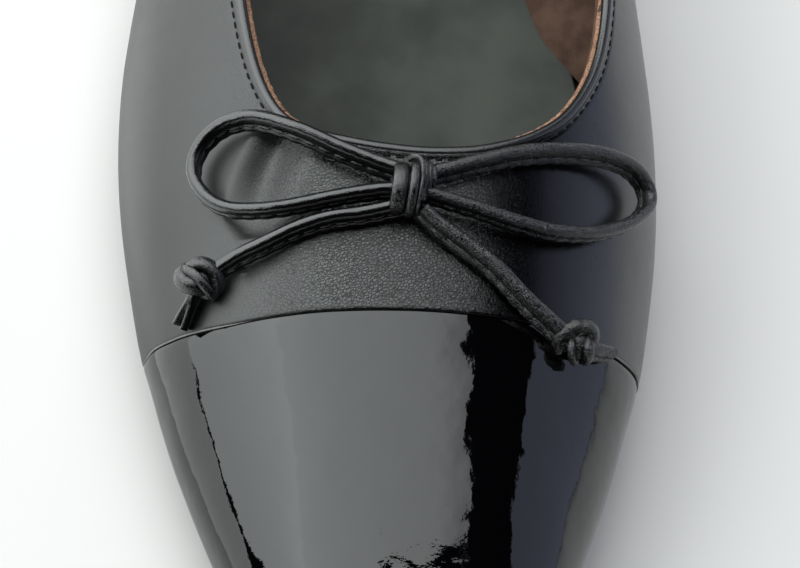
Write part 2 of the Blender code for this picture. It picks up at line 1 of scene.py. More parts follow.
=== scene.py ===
# The looks of a right-foot ballet flat: grained vamp, patent toe cap, rolled topline, thin sole and lace bow.
# Metres, in the frame of the solids: the toe points to -Y, +Z is up, and the inner side of the foot is +X.
import math

import bpy
import numpy as np
from mathutils import Matrix, Vector
from mathutils.bvhtree import BVHTree


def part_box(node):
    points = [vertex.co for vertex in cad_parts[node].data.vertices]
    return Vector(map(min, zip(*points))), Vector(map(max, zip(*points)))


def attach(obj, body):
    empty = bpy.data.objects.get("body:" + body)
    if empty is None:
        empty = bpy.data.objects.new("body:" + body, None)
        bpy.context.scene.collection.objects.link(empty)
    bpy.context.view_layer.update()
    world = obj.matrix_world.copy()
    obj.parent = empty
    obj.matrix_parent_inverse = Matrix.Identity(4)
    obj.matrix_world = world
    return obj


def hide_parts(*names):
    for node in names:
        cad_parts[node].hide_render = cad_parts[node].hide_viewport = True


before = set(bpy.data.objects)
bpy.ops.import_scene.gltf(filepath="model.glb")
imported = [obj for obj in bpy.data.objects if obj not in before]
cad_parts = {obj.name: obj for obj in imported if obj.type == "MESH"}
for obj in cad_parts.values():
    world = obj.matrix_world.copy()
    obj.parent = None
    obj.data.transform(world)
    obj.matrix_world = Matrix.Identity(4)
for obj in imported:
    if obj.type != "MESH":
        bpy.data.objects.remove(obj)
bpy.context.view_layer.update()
mm = 0.001
bpy.context.scene.view_settings.view_transform = "Standard"

# The shoe's driving sizes, the same as the solids have
shoe = {
    "length": 0.250,
    "ballWidth": 0.082,
    "quarterHeight": 0.0495,
    "wall": 2.0 * mm,
    "gap": 0.3 * mm,
    "soleThick": 3.0 * mm,
    "soleEdge": 1.0 * mm,  # how far the sole stands out past the upper's feather edge
    "toeSpring": 4.0 * mm,
    "heelHeight": 6.8 * mm,
    "heelBreast": 0.765,
    "ballFront": 0.27,
    "ballBack": 0.45,
    "insoleThick": 1.8 * mm,
    "capCentre": 0.2404,  # where the cap's seam crosses the middle, as a share of the length
    "liftThick": 3.0 * mm,
    "heelInset": 0.8 * mm,
    "heelTaper": 0.8 * mm,
    "rollHigh": 1.6 * mm,
    "rollProud": 0.25 * mm,
    "capProud": 0.15 * mm,
    "laceWide": 3.0 * mm,
    "laceThick": 2.1 * mm,
}

# Outline from the toe tip to the heel's back: along, lateral, medial, the two tucks and the two bulges
outlineRows = (
    (0.000, -0.018, 0.018, 0.040, 0.040, 0.105, 0.105),
    (0.010, 0.098, 0.135, 0.040, 0.040, 0.105, 0.105),
    (0.030, 0.172, 0.206, 0.041, 0.041, 0.108, 0.108),
    (0.060, 0.232, 0.262, 0.042, 0.042, 0.112, 0.112),
    (0.114, 0.303, 0.328, 0.044, 0.044, 0.120, 0.120),
    (0.180, 0.377, 0.398, 0.045, 0.045, 0.130, 0.130),
    (0.256, 0.437, 0.460, 0.046, 0.046, 0.138, 0.140),
    (0.320, 0.472, 0.495, 0.047, 0.048, 0.144, 0.152),
    (0.384, 0.486, 0.506, 0.050, 0.052, 0.150, 0.172),
    (0.456, 0.475, 0.493, 0.052, 0.062, 0.158, 0.215),
    (0.540, 0.438, 0.457, 0.058, 0.080, 0.174, 0.265),
    (0.620, 0.394, 0.404, 0.058, 0.088, 0.196, 0.290),
    (0.700, 0.362, 0.356, 0.052, 0.074, 0.225, 0.295),
    (0.800, 0.351, 0.337, 0.045, 0.050, 0.268, 0.300),
    (0.888, 0.328, 0.318, 0.040, 0.042, 0.300, 0.305),
    (0.952, 0.262, 0.252, 0.036, 0.036, 0.320, 0.320),
    (0.988, 0.141, 0.134, 0.036, 0.036, 0.330, 0.330),
    (1.000, 0.006, -0.006, 0.036, 0.036, 0.332, 0.332),
)

# The topline above each of those rows: along on both sides, across on both sides, height, roundness, fullness
toplineRows = (
    (0.338, 0.338, -0.004, 0.004, 0.742, 0.40, 3.2),
    (0.338, 0.340, 0.046, 0.060, 0.741, 0.40, 3.2),
    (0.339, 0.343, 0.090, 0.103, 0.738, 0.40, 3.2),
    (0.341, 0.348, 0.131, 0.146, 0.733, 0.41, 3.1),
    (0.344, 0.355, 0.178, 0.191, 0.725, 0.43, 3.0),
    (0.350, 0.365, 0.222, 0.234, 0.714, 0.46, 2.8),
    (0.362, 0.379, 0.258, 0.274, 0.699, 0.50, 2.6),
    (0.383, 0.398, 0.283, 0.308, 0.680, 0.52, 2.4),
    (0.415, 0.424, 0.303, 0.338, 0.661, 0.50, 2.3),
    (0.465, 0.469, 0.319, 0.362, 0.640, 0.44, 2.2),
    (0.540, 0.540, 0.326, 0.364, 0.618, 0.39, 2.2),
    (0.620, 0.620, 0.322, 0.334, 0.592, 0.36, 2.2),
    (0.700, 0.700, 0.312, 0.298, 0.596, 0.35, 2.2),
    (0.796, 0.796, 0.296, 0.277, 0.670, 0.35, 2.2),
    (0.876, 0.876, 0.266, 0.249, 0.800, 0.35, 2.2),
    (0.934, 0.934, 0.203, 0.190, 0.916, 0.35, 2.2),
    (0.966, 0.966, 0.110, 0.103, 0.984, 0.35, 2.2),
    (0.976, 0.976, 0.005, -0.005, 1.000, 0.35, 2.2),
)

# The sole's underside, towards the toe and over the arch: share of the way, share of the height
toeProfile = ((0.00, 1.00), (0.22, 0.64), (0.44, 0.33), (0.70, 0.09), (1.00, 0.00))
archProfile = ((0, 0), (0.22, 0.09), (0.48, 0.39), (0.73, 0.76), (0.92, 0.96), (0.98, 1), (1, 1))

# The cap's seam: share of the ball's width across, share of the length behind its centre
capSeam = (
    (-0.60, 0.012), (-0.47, 0.010), (-0.40, 0.001), (-0.30, -0.003), (-0.15, -0.002), (0.00, 0.000),
    (0.20, 0.003), (0.32, 0.004), (0.40, 0.006), (0.48, 0.011), (0.60, 0.015),
)


def addObject(name, data):
    made = bpy.data.objects.new(name, data)
    bpy.context.scene.collection.objects.link(made)
    return made


# Camera, at the photograph's angle to the shoe
camera = {
    "towards": (0.187, 0.491, -0.851),
    "target": (-0.00322, -0.05993, 0.033),
    "distance": 0.7,
    "lens": 220.5,
    "roll": -1.0,
}


def makeCamera():
    data = bpy.data.cameras.new("camera")
    data.lens = camera["lens"]
    data.sensor_width = 36.0
    made = addObject("camera", data)
    towards = Vector(camera["towards"]).normalized()
    right = towards.cross(Vector((0, 1, 0))).normalized()
    up = right.cross(towards)
    roll = math.radians(camera["roll"])
    right, up = math.cos(roll) * right + math.sin(roll) * up, math.cos(roll) * up - math.sin(roll) * right
    made.matrix_world = Matrix.Translation(Vector(camera["target"]) - towards * camera["distance"]) @ Matrix(
        (right, up, -towards)
    ).transposed().to_4x4()
    bpy.context.scene.camera = made


makeCamera()
print("camera done")


# Curves through table rows
def smoothSteps(knots, values, at):
    knots, values, at = (np.asarray(x, float) for x in (knots, values, at))
    width = np.diff(knots)
    rise = np.diff(values) / width
    slope = np.zeros(len(knots))
    sameWay = rise[:-1] * rise[1:] > 0
    before, after = 2 * width[1:] + width[:-1], width[1:] + 2 * width[:-1]
    first, second = (np.where(sameWay, part, 1) for part in (rise[:-1], rise[1:]))
    slope[1:-1] = np.where(sameWay, (before + after) / (before / first + after / second), 0)
    slope[0], slope[-1] = rise[0], rise[-1]
    i = np.clip(np.searchsorted(knots, at, side="right") - 1, 0, len(width) - 1)
    t = np.clip((at - knots[i]) / width[i], 0, 1)
    return (
        (1 + 2 * t) * (1 - t) ** 2 * values[i]
        + t * (1 - t) ** 2 * width[i] * slope[i]
        + t * t * (3 - 2 * t) * values[i + 1]
        + t * t * (t - 1) * width[i] * slope[i + 1]
    )


def closedSpline(knots, values, at):
    count = len(values)
    width = np.diff(knots)
    rise = (np.roll(values, -1, 0) - values) / width[:, None]
    system = np.zeros((count, count))
    for i in range(count):
        system[i, i - 1] += width[i - 1]
        system[i, i] += 2 * (width[i - 1] + width[i])
        system[i, (i + 1) % count] += width[i]
    bend = np.linalg.solve(system, 6 * (rise - np.roll(rise, 1, 0)))
    at = np.asarray(at, float) % knots[-1]
    i = np.clip(np.searchsorted(knots, at, side="right") - 1, 0, count - 1)
    right = (i + 1) % count
    w, a = width[i][:, None], (at - knots[i])[:, None]
    b = w - a
    return (
        bend[i] * b**3 / (6 * w)
        + bend[right] * a**3 / (6 * w)
        + (values[i] / w - bend[i] * w / 6) * b
        + (values[right] / w - bend[right] * w / 6) * a
    )


def smoothPath(points, step):
    # A smooth open curve through points, with a point about every step
    points = np.asarray(points, float)
    points = np.vstack([2 * points[0] - points[1], points, 2 * points[-1] - points[-2]])
    made = []
    for a, b, c, d in zip(points, points[1:], points[2:], points[3:]):
        slope, bend, twist = c - a, 2 * a - 5 * b + 4 * c - d, 3 * b - a - 3 * c + d
        count = max(1, round(np.linalg.norm((c - b)[:3]) / step))
        for t in np.linspace(0, 1, count, endpoint=False):
            made.append(b + (slope * t + bend * t**2 + twist * t**3) / 2)
    return np.array([*made, points[-2]])


def readRows(want, have, values):
    # Rows of values, which belong to the lengths in have, at the wanted lengths
    return np.stack([np.interp(want, have, column) for column in values.T], axis=1)


def lengthsAlong(points):
    return np.concatenate([[0], np.cumsum(np.linalg.norm(np.diff(points, axis=0), axis=1))])


def bell(x):
    return np.exp(-(x**2))


def unit(vectors):
    return vectors / np.linalg.norm(vectors, axis=-1, keepdims=True)


def circle(count):
    # Evenly spaced angles
    return np.linspace(0, 2 * math.pi, count, endpoint=False)


# The last: places on the upper's outer surface
def soleBottom(y):
    share = np.asarray(y, float) / shoe["length"]
    toe, spring = np.array(toeProfile).T
    arch, heel = np.array(archProfile).T
    behindBall = (share - shoe["ballBack"]) / (shoe["heelBreast"] - shoe["ballBack"])
    inFront = shoe["toeSpring"] * smoothSteps(toe, spring, share / shoe["ballFront"])
    return inFront + shoe["heelHeight"] * smoothSteps(arch, heel, behindBall)


def soleTop(y):
    return soleBottom(y) + shoe["soleThick"]


def seamAt(x):
    across, behind = np.array(capSeam).T
    return shoe["length"] * (shoe["capCentre"] + smoothSteps(across * shoe["ballWidth"], behind, x))


def lastLoop():
    along, lateral, medial, tuckL, tuckM, bulgeL, bulgeM = np.array(outlineRows).T
    topL, topM, acrossL, acrossM, height, roundness, fullness = np.array(toplineRows).T
    both = lambda left, right: np.concatenate([left, right[-2:0:-1]])
    wide, long, high = shoe["ballWidth"], shoe["length"], shoe["quarterHeight"]
    loop = np.stack(
        [
            both(-lateral, medial) * wide,
            both(along, along) * long,
            both(tuckL, tuckM) * wide,
            both(bulgeL, bulgeM) * high,
            both(-acrossL, acrossM) * wide,
            both(topL, topM) * long,
            both(height, height) * high,
            both(roundness, roundness),
            both(fullness, fullness),
        ],
        axis=1,
    )
    half = len(outlineRows) - 1
    step = np.linalg.norm(np.diff(np.vstack([loop[:, :2], loop[:1, :2]]), axis=0), axis=1)
    sides = (step[:half] + step[half:][::-1]) / 2
    return np.concatenate([[0], np.cumsum(np.concatenate([sides, sides[::-1]]))]), loop


knots, loop = lastLoop()
around = knots[-1]
hair = 0.15 * mm  # the step that slopes are measured over


def columnsAt(at):
    columns = closedSpline(knots, loop, at)
    run = (closedSpline(knots, loop, at + hair) - closedSpline(knots, loop, at - hair))[:, :2]
    outward = np.stack([-run[:, 1], run[:, 0]], axis=1)
    return columns, unit(outward)


def linesAt(at, fine=140):
    # Each column as a line of points from the feather edge over the widest place to the topline
    columns, outward = columnsAt(at)
    outline, tuck, bulge, top, topHigh, roundness, fullness = (
        columns[:, None, :2],
        columns[:, None, 2, None],
        columns[:, None, 3, None],
        columns[:, None, 4:6],
        columns[:, None, 6, None],
        columns[:, None, 7, None],
        columns[:, None, 8, None],
    )
    outward = outward[:, None]
    low = soleTop((outline - outward * tuck)[..., 1:]) + shoe["gap"]
    widest = soleTop(outline[..., 1:]) + bulge
    high = soleTop(top[..., 1:]) + topHigh
    q = np.linspace(0, 1, fine // 4, endpoint=False)[None, :, None]
    under = np.concatenate([outline - outward * tuck * (1 - q) ** 2, low + (widest - low) * q], axis=2)
    q = np.linspace(0, 1, fine)[None, :, None]
    share = q**fullness
    rise = (1 - (1 - share) ** fullness) ** (1 / fullness)
    rise = roundness * rise + (1 - roundness) * share
    over = np.concatenate([outline + (top - outline) * share, widest + (high - widest) * rise], axis=2)
    return np.concatenate([under, over], axis=1)


class Last:
    # The upper's outer surface along chosen columns, for places and outward directions at lengths up each one

    def __init__(self, at):
        self.at = at
        self.points = linesAt(at)
        self.plan = columnsAt(at)[1]
        self.lengths = np.zeros(self.points.shape[:2])
        self.lengths[:, 1:] = np.cumsum(np.linalg.norm(np.diff(self.points, axis=1), axis=2), axis=1)
        self.total = self.lengths[:, -1]
        run = linesAt(at + hair) - linesAt(at - hair)
        self.up = unit(np.gradient(self.points, axis=1))
        self.out = unit(np.cross(self.up, run))
        self.behindSeam = self.points[..., 1] - seamAt(self.points[..., 0])
        self.points = self.points + shift

    def read(self, values, lengths):
        return np.stack([readRows(*row) for row in zip(lengths, self.lengths, values)])

    def place(self, lengths):
        return self.read(self.points, lengths), self.read(self.out, lengths)


# The shoe's frame against the last's own, whose toe tip is at y = 0
shift = np.zeros(3)
upperLow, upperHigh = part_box("upper")
whole = linesAt(np.linspace(0, around, 720, endpoint=False)).reshape(-1, 3)
middle = (whole[:, 0].min() + whole[:, 0].max()) / 2
shift = np.array([(upperLow.x + upperHigh.x) / 2 - middle, upperHigh.y - whole[:, 1].max(), 0])


# The cap's seam as a length up each column; near the sole it runs down to its foot within a short way
seamFoot = {"high": 12 * mm, "run": 2.4 * mm, "dense": 36}


def seamCurve():
    at = np.linspace(-around / 2, around / 2, 2401)
    last = Last(at)
    rows = np.arange(len(at))
    inFront = last.behindSeam <= 0
    i = inFront.shape[1] - 1 - np.argmax(inFront[:, ::-1], axis=1)
    j = np.minimum(i + 1, inFront.shape[1] - 1)
    a, b = last.behindSeam[rows, i], last.behindSeam[rows, j]
    lengths = last.lengths[rows, i]
    lengths = lengths + (last.lengths[rows, j] - lengths) * np.where(b > a, -a / (b - a + 1e-12), 0)
    lengths[~inFront.any(axis=1)] = 0
    feet = []
    for way in (-1, 1):
        k = len(at) // 2
        while lengths[k] > seamFoot["high"]:
            k += way
        past = (at - at[k]) * way
        lengths = np.where(past > 0, seamFoot["high"] * np.clip(1 - past / seamFoot["run"], 0, 1), lengths)
        feet.append(at[k] + way * np.linspace(-2.0 * mm, seamFoot["run"] + 0.1 * mm, seamFoot["dense"]))
    return at, lengths, np.concatenate(feet)


seamPlaces, seamLengths, footColumns = seamCurve()


def seamLength(at):
    return np.interp((at + around / 2) % around - around / 2, seamPlaces, seamLengths)


# Shader building: a socket that takes + - * and a tree that adds any node
class Wire:
    def __init__(self, look, socket):
        self.look = look
        self.socket = socket

    def sum(self, operation, first, second):
        return self.look.node("ShaderNodeMath", {"operation": operation}, {0: first, 1: second})

    def __add__(self, other):
        return self.sum("ADD", self, other)

    def __radd__(self, other):
        return self.sum("ADD", other, self)

    def __sub__(self, other):
        return self.sum("SUBTRACT", self, other)

    def __rsub__(self, other):
        return self.sum("SUBTRACT", other, self)

    def __mul__(self, other):
        return self.sum("MULTIPLY", self, other)

    def __rmul__(self, other):
        return self.sum("MULTIPLY", other, self)


class Look:
    def __init__(self, name, colour, roughness, **constants):
        self.material = bpy.data.materials.new(name)
        self.material.use_nodes = True
        self.tree = self.material.node_tree
        self.shader = self.tree.nodes["Principled BSDF"]
        self.feed("Base Color", (*colour, 1))
        self.feed("Roughness", roughness)
        for socket, value in constants.items():
            self.feed(socket, value)
        self.material.diffuse_color = (*colour, 1)
        self.place = self.node("ShaderNodeTexCoord", output="Object")

    def node(self, kind, settings=None, inputs=None, output=0):
        made = self.tree.nodes.new(kind)
        for key, value in (settings or {}).items():
            setattr(made, key, value)
        for key, value in (inputs or {}).items():
            if isinstance(value, Wire):
                self.tree.links.new(value.socket, made.inputs[key])
            else:
                made.inputs[key].default_value = value
        return Wire(self, made.outputs[output])

    def feed(self, socket, value):
        if isinstance(value, Wire):
            self.tree.links.new(value.socket, self.shader.inputs[socket])
        else:
            self.shader.inputs[socket].default_value = value

    def noise(self, size, detail=3.0):
        inputs = {"Vector": self.place, "Scale": 1 / size, "Detail": detail}
        return self.node("ShaderNodeTexNoise", None, inputs, "Fac")

    def cells(self, size, feature="F1", place=None):
        inputs = {"Vector": place or self.place, "Scale": 1 / size}
        return self.node("ShaderNodeTexVoronoi", {"feature": feature}, inputs, "Distance")

    def step(self, value, low, high, lowest=0.0, highest=1.0):
        return self.node(
            "ShaderNodeMapRange",
            {"interpolation_type": "SMOOTHSTEP"},
            {"Value": value, "From Min": low, "From Max": high, "To Min": lowest, "To Max": highest},
        )

    def blend(self, factor, first, second):
        inputs = {0: factor, 6: (*first, 1), 7: (*second, 1)}
        return self.node("ShaderNodeMix", {"data_type": "RGBA"}, inputs, 2)

    def relief(self, height, depth, under=None):
        inputs = {"Height": height, "Distance": depth, "Strength": 1.0}
        if under:
            inputs["Normal"] = under
        return self.node("ShaderNodeBump", None, inputs, "Normal")


# Meshes from grids of points
def newPiece(name, points, faces, look):
    mesh = bpy.data.meshes.new(name)
    mesh.from_pydata([tuple(p) for p in points], [], faces)
    mesh.validate()
    mesh.shade_smooth()
    mesh.set_sharp_from_angle(angle=math.radians(60))
    mesh.materials.append(look.material)
    piece = addObject(name, mesh)
    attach(piece, "root")
    return piece


def gridFaces(rows, columns, closedRows, closedColumns, first=0):
    faces = []
    for i in range(rows if closedRows else rows - 1):
        j = (i + 1) % rows
        for k in range(columns if closedColumns else columns - 1):
            m = (k + 1) % columns
            corners = (i * columns + k, i * columns + m, j * columns + m, j * columns + k)
            faces.append(tuple(first + corner for corner in corners))
    return faces


def weld(points, faces, near=2e-6):
    # Points that lie on each other made one, and what collapses left out
    keys = np.round(np.asarray(points) / near).astype(np.int64)
    _, first, index = np.unique(keys, axis=0, return_index=True, return_inverse=True)
    index = index.reshape(-1)
    kept = []
    for face in faces:
        corners = [index[v] for v in face]
        corners = [v for k, v in enumerate(corners) if v != corners[k - 1]]
        if len(corners) > 2:
            kept.append(tuple(int(v) for v in corners))
    return np.asarray(points)[first], kept


def ringPiece(name, sections, look):
    # A closed ring of closed sections, such as a shell all round the shoe
    points, faces = weld(sections.reshape(-1, 3), gridFaces(*sections.shape[:2], True, True))
    return newPiece(name, points, faces, look)


def tubePiece(name, tubes, look):
    # Tubes of closed sections along open lines, with their ends filled, in one mesh
    points, faces = [], []
    start = 0
    for sections in tubes:
        count, size = sections.shape[:2]
        ends = [sections[0].mean(axis=0), sections[-1].mean(axis=0)]
        points.append(np.vstack([sections.reshape(-1, 3), *ends]))
        faces += gridFaces(count, size, False, True, start)
        middle, end = start + count * size, start + (count - 1) * size
        for k in range(size):
            m = (k + 1) % size
            faces.append((start + m, start + k, middle))
            faces.append((end + k, end + m, middle + 1))
        start = middle + 2
    points, faces = weld(np.vstack(points), faces)
    return newPiece(name, points, faces, look)


def beads(name, places, runs, ups, size, look):
    # Many small rounded pieces of thread in one mesh: half-length, half-width and half-height in size
    sides, rings = 8, 5
    shape = []
    for i in range(rings + 1):
        t = math.pi * i / rings
        for k in range(sides):
            a = 2 * math.pi * k / sides
            girth = math.sin(t) ** 0.7
            shape.append((-math.cos(t), girth * math.cos(a), girth * math.sin(a)))
    shape = np.array(shape) * size
    points, faces = [], []
    single = gridFaces(rings + 1, sides, False, True)
    for place, run, up in zip(places, runs, ups):
        run = unit(run)
        side = unit(np.cross(up, run))
        over = np.cross(run, side)
        start = len(points) * len(shape)
        points.append(place + shape[:, :1] * run + shape[:, 1:2] * side + shape[:, 2:] * over)
        faces += [tuple(start + v for v in face) for face in single]
    points, faces = weld(np.vstack(points), faces)
    return newPiece(name, points, faces, look)


# Finishes
def vampLeather():
    look = Look("grained_leather", (0.0025, 0.0025, 0.0027), 0.25, IOR=1.70)
    turned = {"Vector": look.place, "Rotation": (0, 0, 0.62), "Scale": (1.7, 1, 1)}
    drawn = look.node("ShaderNodeMapping", {"vector_type": "TEXTURE"}, turned)
    pebble = look.cells(0.38 * mm, "DISTANCE_TO_EDGE", drawn)
    tiny = look.cells(0.22 * mm, "DISTANCE_TO_EDGE", drawn)
    x = look.node("ShaderNodeSeparateXYZ", None, {"Vector": look.place})
    taut = look.step(x, -31 * mm, -13 * mm)
    slack = (0.12 + taut * 0.88) * look.step(x, 6 * mm, 22 * mm, 1.0, 0.18)
    uneven = look.noise(1.2 * mm, 4.0)
    height = (look.step(pebble, 0.0, 0.26) * 0.6 + look.step(tiny, 0.0, 0.3) * 0.35 + uneven * 0.4) * slack
    broad = look.relief(look.noise(7 * mm, 2.0), 0.08 * mm)
    look.feed("Normal", look.relief(height, 0.034 * mm, broad))
    # Painted shade in the grain's crevices, where its cells meet
    creviceShade = 1 - look.step(pebble, 0.02, 0.15) * look.step(tiny, 0.0, 0.10)
    # Painted shade: the crevices of the grain give back less light, and so do two broad bands along the shoe
    band = look.step(x, -40 * mm, -36 * mm, 0.0, 0.22) - look.step(x, -20 * mm, -14 * mm, 0.0, 0.22)
    band = band + look.step(x, 5 * mm, 12 * mm, 0.0, 0.78) - look.step(x, 14 * mm, 32 * mm, 0.0, 0.78)
    look.feed("Metallic", band + creviceShade * slack * 0.70 * (1 - band))
    cloud = look.step(look.noise(18 * mm, 3.0), 0.3, 0.7)
    look.feed("Base Color", look.blend(cloud, (0.0018, 0.0018, 0.0020), (0.0035, 0.0035, 0.0038)))
    firm = look.step(x, 0 * mm, 10 * mm) * 0.05 - look.step(x, 20 * mm, 30 * mm) * 0.13
    look.feed("Roughness", 0.41 - taut * 0.20 - firm + look.noise(4 * mm) * 0.06)
    return look


def patentLeather():
    look = Look("patent_leather", (0.0009, 0.0009, 0.0012), 0.02, IOR=1.52)
    wide = look.relief(look.noise(8 * mm, 2.0), 0.20 * mm)
    close = look.relief(look.noise(1.8 * mm, 3.0), 0.020 * mm, wide)
    look.feed("Normal", look.relief(look.noise(0.5 * mm, 2.0), 0.0035 * mm, close))
    look.feed("Roughness", 0.02 + look.step(look.noise(9 * mm, 4.0), 0.5, 0.8) * 0.04)
    return look


def smoothLeather(name, dark, pale, roughness, depth, cell, cloudy, refraction=1.5):
    look = Look(name, dark, roughness, IOR=refraction)
    cell, cloudy = cell * mm, cloudy * mm
    height = (1 - look.cells(cell)) * 0.6 + look.noise(cell * 3, 4.0)
    look.feed("Normal", look.relief(height, depth * mm))
    look.feed("Base Color", look.blend(look.step(look.noise(cloudy, 4.0), 0.3, 0.72), dark, pale))
    look.feed("Roughness", roughness - 0.05 + look.noise(cloudy / 5, 3.0) * 0.10)
    return look


def rawEdge():
    look = Look("raw_leather_edge", (0.30, 0.17, 0.10), 0.85)
    fibres = look.noise(0.35 * mm, 5.0)
    look.feed("Normal", look.relief(fibres, 0.25 * mm))
    share = look.step(fibres, 0.3, 0.7)
    look.feed("Base Color", look.blend(share, (0.11, 0.050, 0.030), (0.30, 0.165, 0.095)))
    return look


def laceLeather(name, gloss, smooth):
    look = Look(name, (0.0015, 0.0015, 0.0017), gloss, IOR=1.62)
    crackle = look.step(look.cells(0.32 * mm, "DISTANCE_TO_EDGE"), 0.0, 0.28)
    wrinkles = look.noise(0.7 * mm, 5.0)
    x = look.node("ShaderNodeSeparateXYZ", None, {"Vector": look.place})
    worn = look.step(x, -8 * mm, 6 * mm, smooth, 1.0)  # smooth at the left and crackled at the right
    look.feed("Normal", look.relief((crackle * 0.8 + wrinkles) * worn, 0.065 * mm))
    look.feed("Base Color", look.blend(wrinkles, (0.001, 0.001, 0.0012), (0.003, 0.003, 0.0033)))
    look.feed("Roughness", gloss + wrinkles * 0.08)
    return look


# Plain leathers, rubber and threads: name, dark and pale colour, roughness, then in mm the relief's depth and
# its cells and the colour's cloudy patches, and last the refraction where it isn't 1.5
plainFinishes = {
    "roll": ("rolled_edge", (0.0025, 0.0025, 0.003), (0.005, 0.005, 0.0055), 0.27, 0.02, 0.4, 14, 1.62),
    "lining": ("lining_leather", (0.044, 0.025, 0.017), (0.084, 0.050, 0.036), 0.80, 0.06, 0.5, 4, 1.20),
    "insole": ("insole_leather", (0.032, 0.035, 0.031), (0.056, 0.060, 0.053), 0.60, 0.02, 0.5, 12, 1.20),
    "outsole": ("outsole_leather", (0.016, 0.016, 0.018), (0.030, 0.029, 0.029), 0.50, 0.03, 0.5, 14),
    "heel": ("heel_leather", (0.014, 0.013, 0.013), (0.024, 0.022, 0.021), 0.38, 0.02, 0.5, 14),
    "lift": ("lift_rubber", (0.014, 0.014, 0.014), (0.022, 0.022, 0.022), 0.75, 0.03, 0.9, 14),
    # A pale grey for the fold's edge, a painted highlight where that edge catches the light
    "cut": ("cut_edge", (0.10, 0.10, 0.095), (0.20, 0.20, 0.19), 0.5, 0.02, 0.3, 3),
    "thread": ("thread", (0.0010, 0.0010, 0.0012), (0.003, 0.003, 0.003), 0.75, 0.03, 0.2, 2, 1.25),
    # The bow's stitches: black thread given a grey, a painted highlight for the glints along it
    "laceThreadGlint": ("lace_thread_painted_glint", (0.030, 0.032, 0.032), (0.075, 0.078, 0.078), 0.28, 0.03, 0.2, 1.2),
}
finishes = {
    "vamp": vampLeather(),
    "patent": patentLeather(),
    "edge": rawEdge(),
    "lace": laceLeather("lace_leather", 0.12, 0.2),
    "knot": laceLeather("knot_leather", 0.13, 0.6),
}
for use, row in plainFinishes.items():
    finishes[use] = smoothLeather(*row)
print("finishes done")


# The vamp and quarters: one skin of grained leather, folded under along the cap's seam
vamp = {
    "columns": 560,
    "rows": 74,
    "topRows": 16,
    "insideRows": 22,
    "topFrom": 3.8 * mm,  # the rows are closer from here up to the topline
    "thick": 0.9 * mm,
    "foldHigh": 0.42 * mm,  # how far the folded edge stands above the cap
    "foldReach": 9 * mm,  # the fold's doubled leather fades out over this
    "belowTopline": 0.7 * mm,
    "stitchDown": 2.1 * mm,  # the stitch line's distance from the topline
    "grooveDeep": 0.16 * mm,
    "grooveWide": 0.28 * mm,
    "bandHigh": 0.12 * mm,  # the raised band between the stitches and the rolled edge
    "bandWide": 0.7 * mm,
    "bandDown": 1.3 * mm,
    "edgeFrom": 24 * mm,  # the painted highlight along the fold's edge shows from here outwards
    "edgeLift": {"left": 0.22 * mm, "right": 0.30 * mm},
    "edgeRadius": 0.16 * mm,
}
# Creases: a path of places in mm, the half-width, the depth, with a minus for a ridge, and for a
# trough with one steep side the way back up from its foot, towards the inner side of the shoe
creases = (
    (
        (
            (-19.6, -33.0), (-22.1, -37.0), (-23.7, -39.7), (-25.2, -43.1),
            (-26.1, -46.2), (-26.4, -49.4), (-25.9, -54.0),
        ),
        2.1, 1.95, 6.2,
    ),
    (((20.0, -46.0), (23.5, -40.0), (28.0, -32.0)), 3.4, 0.16, 0),
    (((-38.0, -14.0), (-36.5, 6.0), (-33.5, 28.0)), 4.5, 0.22, 0),
    (((38.5, -14.0), (36.5, 6.0), (34.0, 28.0)), 4.5, 0.22, 0),
    (((-13.0, -56.5), (-2.0, -57.3), (9.0, -57.0)), 2.2, -0.06, 0),
    (((-31.0, -60.5), (-24.0, -57.0), (-18.0, -55.5)), 2.6, 0.10, 0),
)


def creaseDepth(points):
    # How far each place sinks, from the nearest stretch of each crease
    flat = points[..., :2] / mm
    depth = np.zeros(points.shape[:-1])
    ease = lambda t: np.clip(t, 0, 1) ** 2 * (3 - 2 * np.clip(t, 0, 1))
    for path, width, deep, back in creases:
        path = smoothPath(path, 0.8)
        nearest = np.full(flat.shape[:-1], 1e9)
        beyond, share = np.zeros(nearest.shape), np.zeros(nearest.shape)
        for i in range(len(path) - 1):
            run = path[i + 1] - path[i]
            t = np.clip(((flat - path[i]) @ run) / (run @ run), 0, 1)
            gap = flat - path[i] - t[..., None] * run
            away = np.linalg.norm(gap, axis=-1)
            closer = away < nearest
            nearest = np.where(closer, away, nearest)
            beyond = np.where(closer, away * np.sign(run[0] * gap[..., 1] - run[1] * gap[..., 0]), beyond)
            share = np.where(closer, (i + t) / (len(path) - 1), share)
        if back:
            dip = ease((beyond + width) / (2 * width)) * (1 - ease((beyond - width) / back))
            dip *= bell(np.maximum(nearest - np.abs(beyond), 0))
        else:
            dip = bell(nearest / width)
        depth += deep * mm * dip * (1 - (2 * share - 1) ** 4 * 0.85)
    return depth


